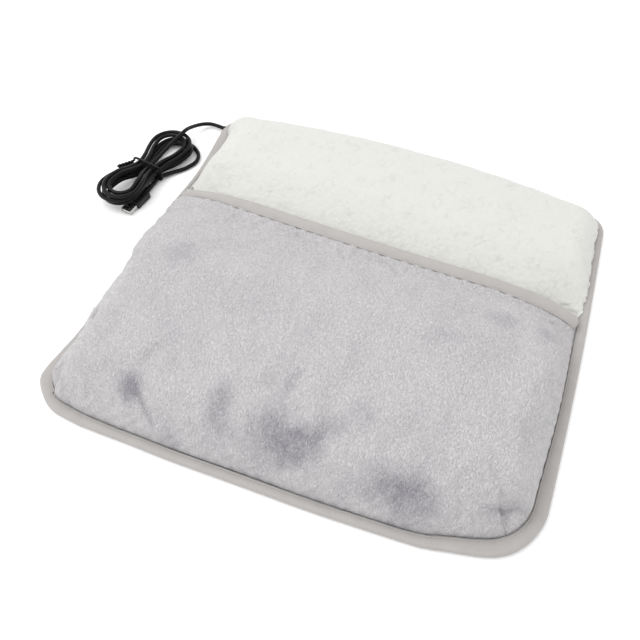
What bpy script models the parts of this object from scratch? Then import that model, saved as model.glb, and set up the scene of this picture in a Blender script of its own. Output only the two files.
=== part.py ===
"""Electric foot warmer: a heated sherpa base with a padded pocket for the feet and a USB cord.

The pad lies flat on the floor. +X is its width, -Y its toe end, +Y the end where the cord leaves.
The origin is the middle of its underside. Lengths are in metres.

Every layer is laid out on a flat rectangular pattern, and pad_point sews the pattern to its real
outline: round corners, bowed edges and a mouth seam that runs a little askew.
"""

import math

import bmesh
import bpy
from mathutils import Matrix, Vector

MM = 0.001

# Pad outline
PAD_WIDTH = 450 * MM
PAD_DEPTH = 419 * MM
FRONT_BOW = 5.5 * MM
FRONT_SKEW = 2.5 * MM
REAR_BOW = 26 * MM
REAR_SKEW = 7.7 * MM
LEFT_BOW = -1.4 * MM
RIGHT_BOW = 3.7 * MM
OUTLINE_SHIFT = 1.9 * MM
TOE_LEFT_RADIUS = 34 * MM
TOE_RIGHT_RADIUS = 62 * MM
REAR_RADIUS = 18 * MM

# Gaps that touching pieces keep
GAP = 0.3 * MM
SEAM_CLEARANCE = 1.0 * MM
CUT_OVERRUN = 2.0 * MM

# Binding tape folded round the rim
BINDING_WIDTH = 9 * MM
BINDING_HEIGHT = 7 * MM
TAPE_THICKNESS = 1.2 * MM
BINDING_ROUNDING = 1.6 * MM

# Base layers
UNDERSIDE_THICKNESS = 2.5 * MM
RIM_TUCK = 3 * MM
LOWER_WADDING_THICKNESS = 3.7 * MM
CARRIER_THICKNESS = 1.0 * MM
HEATER_INSET = 65 * MM
HEATER_CORNER_RADIUS = 20 * MM
UPPER_WADDING_INSET = 38 * MM
SHERPA_THICKNESS = 5 * MM
SHERPA_RIM_THICKNESS = 2.7 * MM
POCKET_FLOOR_HEIGHT = 19.5 * MM
HUMP_HEIGHT = 34 * MM
LEDGE_WIDTH = 7.4 * MM
POCKET_FLOOR_RUN = 60 * MM
REAR_SIDE_RUN = 24 * MM
REAR_END_RUN = 26 * MM
HUMP_RISE_LENGTH = 55 * MM

# Pocket cover
MOUTH_FROM_TOE = 274 * MM
MOUTH_SKEW = 10 * MM
MOUTH_BOW = 12 * MM
MOUTH_SKEW_REACH = 130 * MM
TOE_CROWN_HEIGHT = 55 * MM
MOUTH_CROWN_HEIGHT = 33 * MM
MOUTH_SLOPE_LENGTH = 110 * MM
COVER_FRONT_RUN = 62 * MM
COVER_SIDE_RUN = 32 * MM
MOUTH_SIDE_RUN = 105 * MM
PLUSH_THICKNESS = 3 * MM
COVER_WADDING_THICKNESS = 7 * MM
LINING_THICKNESS = 4 * MM
RIM_PINCH_SHARE = 0.3
RIM_PINCH_LENGTH = 20 * MM
MOUTH_PINCH_SHARE = 0.36
MOUTH_PINCH_LENGTH = 50 * MM
MOUTH_TAPE_WIDTH = 10 * MM
NORMAL_PROBE = 0.5 * MM

# Heating element
WIRE_DIAMETER = 2.2 * MM
WIRE_ROWS = 8
WIRE_ROWS_MARGIN = 195 * MM
WIRE_RIGHT_MARGIN = 90 * MM
WIRE_LEFT_MARGIN = 107 * MM
RETURN_LANE_MARGIN = 67 * MM
WIRE_TURN_STEPS = 6
LEAD_DIAMETER = 1.6 * MM
LEAD_SPACING = 2.6 * MM
CUTOUT_LENGTH = 20 * MM
CUTOUT_WIDTH = 7 * MM
CUTOUT_THICKNESS = 3 * MM
SOLDER_SLEEVE_DIAMETER = 3.0 * MM
SOLDER_SLEEVE_LENGTH = 14 * MM
LEAD_CHANNEL_DIAMETER = 5 * MM

# Cord and its moulded anchor in the rear left corner
CORD_DIAMETER = 4.5 * MM
CORD_REST_CLEARANCE = 0.25 * MM
ANCHOR_DIAMETER = 5.6 * MM
ANCHOR_LENGTH = 24 * MM
ANCHOR_COLLAR_DIAMETER = 6.8 * MM
ANCHOR_COLLAR_LENGTH = 2 * MM
ANCHOR_HEIGHT = 4.5 * MM
ANCHOR_PROUD = 0.5 * MM
ANCHOR_TURN = math.radians(10)

# Hank: nested loops drawn in at the waist, in three layers
HANK_CENTRE = (-272.5 * MM, 89 * MM)
HANK_TILT = math.radians(11)
HANK_HALF_RUN = 44 * MM
HANK_WAIST_LANE = 2.85 * MM
HANK_STEP = 5.7 * MM
HANK_CAP_GROWTH = 9.6 * MM
HANK_HALF_TURNS = 12
HANK_LAYERS = 3
HANK_LAYER_STEP = 5.5 * MM
HANK_RUN_STEPS = 3
HANK_CAP_STEPS = 6
HANK_CLIMB_TURN = 0.5
HANK_WAIST_LIFT = 1.9 * MM
HANK_WAIST_LIFT_LENGTH = 30 * MM
HANK_PLUG_LIFT = 6.9 * MM
HANK_PLUG_LIFT_LENGTH = 30 * MM
HANK_SIDE_LOOP = 9 * MM

# Twist tie
TIE_DIAMETER = 1.5 * MM
TIE_CORNER_RADIUS = 4.5 * MM
TIE_TAIL_LENGTH = 28 * MM
TIE_TWIST_RADIUS = 1.2 * MM
TIE_TWIST_PITCH = 8 * MM
TIE_TAIL_TURN = math.radians(66)
TIE_TAIL_RISE = math.radians(10)

# Plug
PLUG_WIDTH = 16 * MM
PLUG_THICKNESS = 8 * MM
PLUG_LENGTH = 22 * MM
PLUG_ROUNDING = 1.5 * MM
RELIEF_LENGTH = 11 * MM
RELIEF_RIBS = 4
RELIEF_WIDE_DIAMETER = 7.0 * MM
RELIEF_NARROW_DIAMETER = 5.6 * MM
RELIEF_GROOVE_DEPTH = 0.6 * MM
SHELL_LENGTH = 12 * MM
SHELL_WIDTH = 12 * MM
SHELL_THICKNESS = 4.5 * MM
SHELL_WALL = 0.35 * MM
SHELL_WINDOW = 2 * MM
SHELL_WINDOW_OFFSET = 2.6 * MM
TONGUE_THICKNESS = 1.8 * MM
TONGUE_SETBACK = 0.7 * MM
CONTACT_WIDTH = 1.0 * MM
CONTACT_THICKNESS = 0.2 * MM
CONTACT_LENGTH = 8 * MM
CONTACT_PITCH = 2.4 * MM
CONTACT_COUNT = 4

# Places that follow from the sizes above
HALF_WIDTH = PAD_WIDTH / 2
REAR_REACH = REAR_BOW + REAR_SKEW ** 2 / (4 * REAR_BOW)
TOE = (FRONT_BOW - REAR_REACH - PAD_DEPTH) / 2
REAR = TOE + PAD_DEPTH
MIDDLE = (TOE + REAR) / 2
MOUTH = TOE + MOUTH_FROM_TOE
SEAM_TOP = BINDING_HEIGHT - TAPE_THICKNESS - GAP
SEAM_INSET = BINDING_WIDTH + 2 * GAP
COVER_INSET = BINDING_WIDTH + SEAM_CLEARANCE
COVER_SEAT = SEAM_TOP + GAP
LOWER_WADDING_BOTTOM = UNDERSIDE_THICKNESS + GAP
CARRIER_BOTTOM = LOWER_WADDING_BOTTOM + LOWER_WADDING_THICKNESS + GAP
CARRIER_TOP = CARRIER_BOTTOM + CARRIER_THICKNESS
WIRE_AXIS = CARRIER_TOP + GAP + CUTOUT_THICKNESS / 2
UPPER_WADDING_BOTTOM = CARRIER_TOP + CUTOUT_THICKNESS + 2 * GAP
COVER_THICKNESS = PLUSH_THICKNESS + COVER_WADDING_THICKNESS + LINING_THICKNESS + 2 * GAP
CORD_REST_HEIGHT = CORD_DIAMETER / 2 + CORD_REST_CLEARANCE
HANK_LAYER_TURNS = HANK_HALF_TURNS // HANK_LAYERS
HANK_RISE = HANK_LAYER_STEP * (HANK_LAYERS - 1)

# Where the pattern's rows and columns lie. Insets run inwards from the pattern's edge.
WADDING_INSETS = (UPPER_WADDING_INSET, HEATER_INSET)
BASE_INSETS = (RIM_TUCK, SEAM_INSET, SEAM_INSET + LEDGE_WIDTH, *WADDING_INSETS)
BASE_SIDE_SHARES = (0.42, 0.7, 1.0)
BASE_POCKET_SHARES = (0.36, 0.55, 0.76, 0.91, 1.0)
BASE_REAR_SHARES = (0.11, 0.28, 0.52)
MOUTH_MARGIN = 3 * MM
COVER_INSET_SHARES = (0.0, 0.02, 0.055, 0.11, 0.2, 0.36, 0.62, 1.0)
RIM_SIDE_SHARES = (0.0, 0.018, 0.036, 0.06, 0.085, 0.115, 0.15, 0.22, 0.32, 0.44, 0.56, 0.68, 0.78,
                   0.85, 0.885, 0.915, 0.94, 0.964, 0.982)
COVER_ROW_SHARES = (0.0, 0.015, 0.04, 0.08, 0.14, 0.24, 0.38, 0.55, 0.72, 0.86)

# Route of the cord from the rear left corner to the hank, chosen by hand: x, y, height of axis
CORD_ROUTE = (
    (-243.2 * MM, 193.4 * MM, 4.3 * MM),
    (-250.6 * MM, 188.6 * MM, 6.2 * MM),
    (-255.2 * MM, 179.5 * MM, 9.8 * MM),
)
# Its last part lies over the hank's cap and down inside the loops: along, across, height of axis
HANK_ENTRY_ROUTE = (
    (-77.5 * MM, -0.2 * MM, 15.6 * MM),
    (-68 * MM, 1.2 * MM, 18.6 * MM),
    (-58 * MM, 1.8 * MM, 19.0 * MM),
    (-46 * MM, 1.4 * MM, 18.0 * MM),
    (-30 * MM, 1.4 * MM, 16.4 * MM),
    (-14 * MM, 2.3 * MM, 15.5 * MM),
)
ROUTE_FINE_STEPS = 24
# Leads inside the pad, from the anchor to the heater
LEAD_ENTRY_HEIGHT = 7 * MM
SUPPLY_ROUTE = (
    (49 * MM - HALF_WIDTH, REAR - 43 * MM, LEAD_ENTRY_HEIGHT),
    (69 * MM - HALF_WIDTH, REAR - 69 * MM, WIRE_AXIS),
    (79 * MM - HALF_WIDTH, REAR - 97 * MM, WIRE_AXIS),
    (87 * MM - HALF_WIDTH, REAR - 111 * MM, WIRE_AXIS),
)
RETURN_ROUTE = (
    (45 * MM - HALF_WIDTH, REAR - 45 * MM, LEAD_ENTRY_HEIGHT),
    (61 * MM - HALF_WIDTH, REAR - 66 * MM, WIRE_AXIS),
)
CUTOUT_START = (98 * MM - HALF_WIDTH, REAR - 114 * MM)
WIRE_PITCH = (PAD_DEPTH - WIRE_ROWS_MARGIN) / (WIRE_ROWS - 1)
WIRE_RIGHT = HALF_WIDTH - WIRE_RIGHT_MARGIN
WIRE_LEFT = WIRE_LEFT_MARGIN - HALF_WIDTH
RETURN_LANE = RETURN_LANE_MARGIN - HALF_WIDTH
RETURN_SLEEVE_START = REAR - 107 * MM
# The hank's last strand runs to the plug: along the hank, across it and height of axis
PLUG_LEAD_ROUTE = (
    (6 * MM, 15.0 * MM, 4.35 * MM),
)
RELIEF_START = (16 * MM, 16.0 * MM)
PLUG_TURN = math.radians(3)

COLLECTION_NAME = "electric_foot_warmer"


def clear_scene():
    """Remove every object that the start-up scene holds."""
    for thing in list(bpy.data.objects):
        bpy.data.objects.remove(thing, do_unlink=True)


def collection(name):
    """Make a collection and hang it under the scene."""
    group = bpy.data.collections.new(name)
    bpy.context.scene.collection.children.link(group)
    return group


def material(name, colour, roughness, metallic=0.0):
    """A plain Principled material."""
    made = bpy.data.materials.new(name)
    made.use_nodes = True
    shader = made.node_tree.nodes["Principled BSDF"]
    shader.inputs["Base Color"].default_value = (*colour, 1.0)
    shader.inputs["Roughness"].default_value = roughness
    shader.inputs["Metallic"].default_value = metallic
    return made


def clamp(value):
    """Limit a value to 0..1."""
    return max(0.0, min(1.0, value))


def ease(value):
    """Smooth step from 0 to 1."""
    t = clamp(value)
    return t * t * (3 - 2 * t)


def mix(low, high, share):
    """Blend two values."""
    return low + (high - low) * share


def swell(*insets):
    """Height share of a stuffed edge: a quarter ellipse over each edge's run."""
    return math.prod(math.sqrt(1 - (1 - clamp(inset)) ** 2) for inset in insets)


def round_corner(x, y):
    """Draw the pattern's corner squares in to quarter discs, ring by ring."""
    side = 1 if x > 0 else -1
    end = 1 if y > MIDDLE else -1
    toe_radius = TOE_RIGHT_RADIUS if side > 0 else TOE_LEFT_RADIUS
    radius = REAR_RADIUS if end > 0 else toe_radius
    centre = Vector((side * (HALF_WIDTH - radius), REAR - radius if end > 0 else TOE + radius))
    offset = Vector((x, y)) - centre
    if side * offset.x <= 0 or end * offset.y <= 0:
        return x, y
    reach = max(abs(offset.x), abs(offset.y))
    drawn = centre + offset * (reach / offset.length)
    return drawn.x, drawn.y


def pad_point(x, y):
    """Sew a pattern point to the pad's real outline."""
    x, y = round_corner(x, y)
    across = x / HALF_WIDTH
    along = (y - MIDDLE) / (PAD_DEPTH / 2)
    middle_share = 1 - across * across
    rear = max(0.0, along) * (REAR_BOW * middle_share - REAR_SKEW * across)
    front = max(0.0, -along) * (FRONT_SKEW * across - FRONT_BOW * middle_share)
    at_mouth = ease(1 - abs(y - MOUTH) / MOUTH_SKEW_REACH)
    mouth = at_mouth * (MOUTH_SKEW * across + MOUTH_BOW * middle_share)
    side_bow = RIGHT_BOW if across > 0 else LEFT_BOW
    sewn_x = x + side_bow * across * (1 - along * along) - OUTLINE_SHIFT
    return sewn_x, y + rear + front - mouth


def insets(x, y, rim):
    """Distances from a pattern point to the left, right, toe and rear edges of an inset rim."""
    return x + HALF_WIDTH - rim, HALF_WIDTH - rim - x, y - TOE - rim, REAR - rim - y


def rear_share(y):
    """How far past the mouth a point is: 0 in the pocket, 1 on the hump."""
    return ease((y - MOUTH - MOUTH_MARGIN) / HUMP_RISE_LENGTH)


def base_top(x, y):
    """Height of the sherpa base's top."""
    left, right, toe, rear = insets(x, y, SEAM_INSET)
    pocket = ease((min(left, right, toe) - LEDGE_WIDTH) / POCKET_FLOOR_RUN)
    hump = swell(left / REAR_SIDE_RUN, right / REAR_SIDE_RUN, rear / REAR_END_RUN)
    past = rear_share(y)
    pocket_rise = (POCKET_FLOOR_HEIGHT - SEAM_TOP) * pocket * (1 - past)
    return SEAM_TOP + pocket_rise + (HUMP_HEIGHT - SEAM_TOP) * hump * past


def sherpa_bottom(x, y):
    """Height of the sherpa's backing, thinner where the binding squeezes it."""
    nearest = min(insets(x, y, SEAM_INSET))
    thickness = mix(SHERPA_RIM_THICKNESS, SHERPA_THICKNESS, ease(nearest / (POCKET_FLOOR_RUN * 0.8)))
    return max(base_top(x, y) - thickness, UNDERSIDE_THICKNESS + GAP)


def wadding_bottom(x, y):
    """Underside of the upper wadding, which drapes over the heater's edges."""
    nearest = min(insets(x, y, UPPER_WADDING_INSET))
    drape = clamp(nearest / (HEATER_INSET - UPPER_WADDING_INSET))
    return mix(LOWER_WADDING_BOTTOM, UPPER_WADDING_BOTTOM, drape)


def cover_height(x, y):
    """Height of the plush's outer face over the pattern."""
    left, right, toe, _ = insets(x, y, COVER_INSET)
    to_mouth = ease(1 - (MOUTH - y) / MOUTH_SLOPE_LENGTH)
    side_run = mix(COVER_SIDE_RUN, MOUTH_SIDE_RUN, to_mouth * to_mouth)
    crown = mix(TOE_CROWN_HEIGHT, MOUTH_CROWN_HEIGHT, to_mouth) - COVER_SEAT
    return COVER_SEAT + crown * swell(left / side_run, right / side_run, toe / COVER_FRONT_RUN)


def cover_skin(x, y):
    """A point of the plush's outer face, sewn to the outline."""
    sewn_x, sewn_y = pad_point(x, y)
    return Vector((sewn_x, sewn_y, cover_height(x, y)))


def cover_normal(x, y):
    """Outward direction of the plush's outer face."""
    edge = HALF_WIDTH - COVER_INSET - NORMAL_PROBE
    x = max(-edge, min(edge, x))
    y = max(TOE + COVER_INSET + NORMAL_PROBE, y)
    across = cover_skin(x + NORMAL_PROBE, y) - cover_skin(x - NORMAL_PROBE, y)
    along = cover_skin(x, y + NORMAL_PROBE) - cover_skin(x, y - NORMAL_PROBE)
    return across.cross(along).normalized()


def pinch(x, y):
    """How much of its full thickness the cover keeps near its seams."""
    left, right, toe, _ = insets(x, y, COVER_INSET)
    at_rim = mix(RIM_PINCH_SHARE, 1.0, ease(min(left, right, toe) / RIM_PINCH_LENGTH))
    at_mouth = mix(MOUTH_PINCH_SHARE, 1.0, ease((MOUTH - y) / MOUTH_PINCH_LENGTH))
    return min(at_rim, at_mouth)


def cover_point(x, y, depth, extra=0.0):
    """A point in the cover: depth shrinks with the pinched seams, extra does not."""
    inward = depth * pinch(x, y) + extra
    point = cover_skin(x, y) - cover_normal(x, y) * inward
    point.z = max(point.z, base_top(x, y) + GAP)
    return point


def finish(name, bm, group, look, smooth_angle=40):
    """Turn a bmesh into a named object with outward faces."""
    bmesh.ops.recalc_face_normals(bm, faces=bm.faces)
    if bm.calc_volume(signed=True) < 0:
        bmesh.ops.reverse_faces(bm, faces=bm.faces)
    mesh = bpy.data.meshes.new(name)
    bm.to_mesh(mesh)
    bm.free()
    mesh.materials.append(look)
    mesh.shade_smooth()
    mesh.set_sharp_from_angle(angle=math.radians(smooth_angle))
    made = bpy.data.objects.new(name, mesh)
    group.objects.link(made)
    return made


def slab(name, columns, rows, place, group, look):
    """A closed sheet: a unit slab whose two faces are laid out by place(x, y, level)."""
    bm = bmesh.new()
    bmesh.ops.create_grid(bm, x_segments=len(columns) - 1, y_segments=len(rows) - 1, size=0.5)
    lower = bm.faces[:]
    raised = bmesh.ops.extrude_face_region(bm, geom=lower, use_keep_orig=True)["geom"]
    raised_vertices = [item for item in raised if isinstance(item, bmesh.types.BMVert)]
    bmesh.ops.translate(bm, verts=raised_vertices, vec=(0, 0, 1))
    for vertex in bm.verts:
        column = columns[round((vertex.co.x + 0.5) * (len(columns) - 1))]
        row = rows[round((vertex.co.y + 0.5) * (len(rows) - 1))]
        vertex.co = place(column, row, round(vertex.co.z))
    return finish(name, bm, group, look)


def loft(name, count_along, count_round, place, closed, group, look, smooth_angle=40):
    """A tube-like solid: a grid laid out by place(along, round), its seam welded, its ends filled."""
    bm = bmesh.new()
    bmesh.ops.create_grid(bm, x_segments=count_along, y_segments=count_round, size=0.5)
    for vertex in bm.verts:
        along = round((vertex.co.x + 0.5) * count_along)
        around = round((vertex.co.y + 0.5) * count_round)
        along = along % count_along if closed else along
        vertex.co = place(along, around % count_round)
    bmesh.ops.remove_doubles(bm, verts=bm.verts, dist=GAP / 100)
    if not closed:
        bmesh.ops.holes_fill(bm, edges=bm.edges, sides=0)
    return finish(name, bm, group, look, smooth_angle)


def smooth_route(points, spacing):
    """Even points along a Catmull-Rom curve through the route's own points."""
    knots = [Vector(point) for point in points]
    ends = [2 * knots[0] - knots[1], *knots, 2 * knots[-1] - knots[-2]]
    fine = []
    for a, b, c, d in zip(ends, ends[1:], ends[2:], ends[3:]):
        for step in range(ROUTE_FINE_STEPS):
            t = step / ROUTE_FINE_STEPS
            fine.append(0.5 * (2 * b + (c - a) * t + (2 * a - 5 * b + 4 * c - d) * t * t
                               + (3 * b - a - 3 * c + d) * t ** 3))
    fine.append(knots[-1])
    return even_points(fine, spacing)


def even_points(fine, spacing):
    """Resample a fine polyline at an even spacing, keeping both ends."""
    lengths = [0.0]
    for first, second in zip(fine, fine[1:]):
        lengths.append(lengths[-1] + (second - first).length)
    count = max(2, round(lengths[-1] / spacing))
    even = []
    index = 0
    for step in range(count + 1):
        target = lengths[-1] * step / count
        while index < len(fine) - 2 and lengths[index + 1] < target:
            index += 1
        span = lengths[index + 1] - lengths[index]
        even.append(fine[index].lerp(fine[index + 1], (target - lengths[index]) / span))
    return even


def tube(name, points, diameter, group, look, bevel_resolution=2):
    """A round solid along points: a poly curve with filled caps."""
    data = bpy.data.curves.new(name, "CURVE")
    data.dimensions = "3D"
    data.bevel_depth = diameter / 2
    data.bevel_resolution = bevel_resolution
    data.use_fill_caps = True
    spline = data.splines.new("POLY")
    spline.points.add(len(points) - 1)
    for knot, point in zip(spline.points, points):
        knot.co = (*point, 1.0)
    data.materials.append(look)
    made = bpy.data.objects.new(name, data)
    group.objects.link(made)
    return made


def as_mesh(curve, group):
    """Replace a curve object by a mesh with welded caps."""
    name = curve.name
    evaluated = curve.evaluated_get(bpy.context.evaluated_depsgraph_get())
    mesh = bpy.data.meshes.new_from_object(evaluated)
    bm = bmesh.new()
    bm.from_mesh(mesh)
    bmesh.ops.remove_doubles(bm, verts=bm.verts, dist=GAP / 100)
    bmesh.ops.recalc_face_normals(bm, faces=bm.faces)
    bm.to_mesh(mesh)
    bm.free()
    placed = curve.matrix_world.copy()
    bpy.data.objects.remove(curve, do_unlink=True)
    made = bpy.data.objects.new(name, mesh)
    made.matrix_world = placed
    group.objects.link(made)
    return made


def block(name, size, group, look, rounding=0.0):
    """A box centred on its origin, with rounded edges where wanted."""
    bm = bmesh.new()
    bmesh.ops.create_cube(bm, size=1.0)
    bmesh.ops.scale(bm, vec=size, verts=bm.verts)
    made = finish(name, bm, group, look, 30)
    if rounding:
        bevel = made.modifiers.new("rounded_edges", "BEVEL")
        bevel.width = rounding
        bevel.segments = 3
    return made


def rod(name, diameter, length, group, look, sides=16):
    """A cylinder along its own Z axis, centred on its origin."""
    bm = bmesh.new()
    bmesh.ops.create_cone(bm, cap_ends=True, segments=sides, radius1=diameter / 2,
                          radius2=diameter / 2, depth=length)
    return finish(name, bm, group, look, 30)


def cut(target, cutter):
    """Subtract a cutter, which is kept but not built."""
    cutter.hide_render = True
    cutter.display_type = "WIRE"
    boolean = target.modifiers.new("cut_" + cutter.name, "BOOLEAN")
    boolean.operation = "DIFFERENCE"
    boolean.solver = "EXACT"
    boolean.object = cutter


def pointing(direction, location):
    """A placement whose Z axis runs along direction."""
    turn = Vector(direction).to_track_quat("Z", "Y").to_matrix().to_4x4()
    return Matrix.Translation(location) @ turn


def base_columns(rim_insets):
    """Column places from left to right, close together at both sides."""
    inner = rim_insets[-1]
    half = list(rim_insets) + [mix(inner, HALF_WIDTH, share) for share in BASE_SIDE_SHARES]
    return [inset - HALF_WIDTH for inset in half] + [HALF_WIDTH - inset for inset in half[-2::-1]]


def base_rows(rim_insets):
    """Row places from toe to rear, with one just past the mouth."""
    inner = rim_insets[-1]
    first = TOE + inner
    last = REAR - inner
    past_mouth = MOUTH + MOUTH_MARGIN
    rows = [TOE + inset for inset in rim_insets]
    rows += [mix(first, past_mouth, share) for share in BASE_POCKET_SHARES]
    rows += [mix(past_mouth, last, share) for share in BASE_REAR_SHARES]
    return rows + [REAR - inset for inset in rim_insets[::-1]]


def make_base(group, looks):
    """The layers under the feet, from the floor up."""
    make_underside(group, looks["underside"])
    flat_layer("base_wadding_lower", LOWER_WADDING_BOTTOM, LOWER_WADDING_THICKNESS, group,
               looks["wadding"])
    flat_layer("heater_carrier", CARRIER_BOTTOM, CARRIER_THICKNESS, group, looks["felt"])

    def upper_wadding(x, y, level):
        height = sherpa_bottom(x, y) - GAP if level else wadding_bottom(x, y)
        return (*pad_point(x, y), height)

    def sherpa(x, y, level):
        height = base_top(x, y) if level else sherpa_bottom(x, y)
        return (*pad_point(x, y), height)

    wadding = slab("base_wadding_upper", base_columns(WADDING_INSETS), base_rows(WADDING_INSETS),
                   upper_wadding, group, looks["wadding"])
    sherpa_sheet = slab("base_sherpa", base_columns(BASE_INSETS), base_rows(BASE_INSETS), sherpa,
                        group, looks["sherpa"])
    binding = make_binding(group, looks["tape"])
    return wadding, sherpa_sheet, binding


def rim_patterns():
    """Pattern directions round the rim, as (side, share) pairs for one full turn."""
    return [(side, share) for side in range(4) for share in RIM_SIDE_SHARES]


def rim_point(side, share, inset):
    """Point on the pattern's rim rectangle, drawn in by an inset."""
    left, right = inset - HALF_WIDTH, HALF_WIDTH - inset
    toe, rear = TOE + inset, REAR - inset
    corners = ((left, toe), (right, toe), (right, rear), (left, rear), (left, toe))
    start, end = corners[side], corners[side + 1]
    return mix(start[0], end[0], share), mix(start[1], end[1], share)


def ring_loft(name, section, closed_section, group, look, place_xy=None):
    """A solid swept round the rim: section holds (inset, height) pairs."""
    stations = rim_patterns()
    to_outline = place_xy or pad_point

    def place(along, around):
        side, share = stations[along % len(stations)]
        inset, height = section[around]
        return (*to_outline(*rim_point(side, share, inset)), height)

    if closed_section:
        return loft(name, len(stations), len(section), place, True, group, look)
    return loft(name, len(section) - 1, len(stations), lambda a, b: place(b, a), False, group, look)


def make_underside(group, look):
    """Flat fabric under the pad, with a raised edge that tucks into the binding."""
    flange_top = TAPE_THICKNESS + GAP
    section = (
        (SEAM_INSET, 0.0),
        (SEAM_INSET, flange_top),
        (RIM_TUCK, flange_top),
        (RIM_TUCK, UNDERSIDE_THICKNESS),
        (SEAM_INSET, UNDERSIDE_THICKNESS),
    )
    return ring_loft("underside_cover", section, False, group, look)


def flat_layer(name, bottom, thickness, group, look):
    """A flat sheet under the heated area."""
    section = ((HEATER_INSET, bottom), (HEATER_INSET, bottom + thickness))

    def rounded(x, y):
        reach_x = HALF_WIDTH - HEATER_INSET - HEATER_CORNER_RADIUS
        reach_y = PAD_DEPTH / 2 - HEATER_INSET - HEATER_CORNER_RADIUS
        offset = Vector((max(0.0, abs(x) - reach_x), max(0.0, abs(y - MIDDLE) - reach_y)))
        if not offset.x or not offset.y:
            return x, y
        drawn = offset * (max(offset) / offset.length)
        return (math.copysign(reach_x + drawn.x, x),
                MIDDLE + math.copysign(reach_y + drawn.y, y - MIDDLE))

    return ring_loft(name, section, False, group, look, rounded)


def make_binding(group, look):
    """Binding tape folded round the rim: a C section open towards the pad."""
    wall = TAPE_THICKNESS
    top = BINDING_HEIGHT
    corner = BINDING_ROUNDING
    section = (
        (BINDING_WIDTH, 0.0),
        (corner, 0.0),
        (0.0, corner),
        (0.0, top - corner),
        (corner, top),
        (BINDING_WIDTH, top),
        (BINDING_WIDTH, top - wall),
        (corner, top - wall),
        (wall, top - corner),
        (wall, corner),
        (corner, wall),
        (BINDING_WIDTH, wall),
    )
    return ring_loft("perimeter_binding", section, True, group, look)


def cover_grid():
    """Columns and rows of the cover, with the last row one tape width from the mouth."""
    span = HALF_WIDTH - COVER_INSET
    half = [COVER_INSET - HALF_WIDTH + span * share for share in COVER_INSET_SHARES]
    columns = half + [-place for place in half[-2::-1]]
    first = TOE + COVER_INSET
    rows = [mix(first, MOUTH, share) for share in COVER_ROW_SHARES]
    return columns, [*rows, MOUTH - MOUTH_TAPE_WIDTH, MOUTH]


def make_cover(group, looks):
    """The pocket's cover: plush outside, wadding, sherpa lining and a taped mouth."""
    columns, rows = cover_grid()
    depths = {
        "cover_plush": (0.0, PLUSH_THICKNESS, looks["plush"]),
        "cover_wadding": (PLUSH_THICKNESS, PLUSH_THICKNESS + COVER_WADDING_THICKNESS,
                          looks["wadding"]),
        "cover_lining": (PLUSH_THICKNESS + COVER_WADDING_THICKNESS,
                         COVER_THICKNESS - 2 * GAP, looks["sherpa"]),
    }
    for order, (name, (outer, inner, look)) in enumerate(depths.items()):
        def layer(x, y, level, outer=outer, inner=inner, shift=order * GAP):
            return cover_point(x, y, outer if level else inner, shift)

        slab(name, columns, rows, layer, group, look)
    make_mouth_tape(columns, group, looks["tape"])


def make_mouth_tape(columns, group, look):
    """Tape folded over the mouth edge: its flanges follow the cover's two faces."""
    stations = columns[1:-1]
    full = COVER_THICKNESS - 2 * GAP
    wall = TAPE_THICKNESS
    back = -MOUTH_TAPE_WIDTH
    # Each corner: distance past the mouth edge, depth that is pinched, depth that is not
    section = (
        (back, 0.0, -GAP - wall),
        (GAP + wall, 0.0, -GAP - wall),
        (GAP + wall, full, 3 * GAP + wall),
        (back, full, 3 * GAP + wall),
        (back, full, 3 * GAP),
        (GAP, full, 3 * GAP),
        (GAP, 0.0, -GAP),
        (back, 0.0, -GAP),
    )

    def place(along, around):
        past, depth, extra = section[around]
        x = stations[along]
        if past < 0:
            return cover_point(x, MOUTH + past, depth, extra)
        edge = cover_point(x, MOUTH, depth, extra)
        outward = (cover_skin(x, MOUTH) - cover_skin(x, MOUTH - NORMAL_PROBE)).normalized()
        return edge + outward * past

    loft("mouth_binding", len(stations) - 1, len(section), place, False, group, look)


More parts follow.
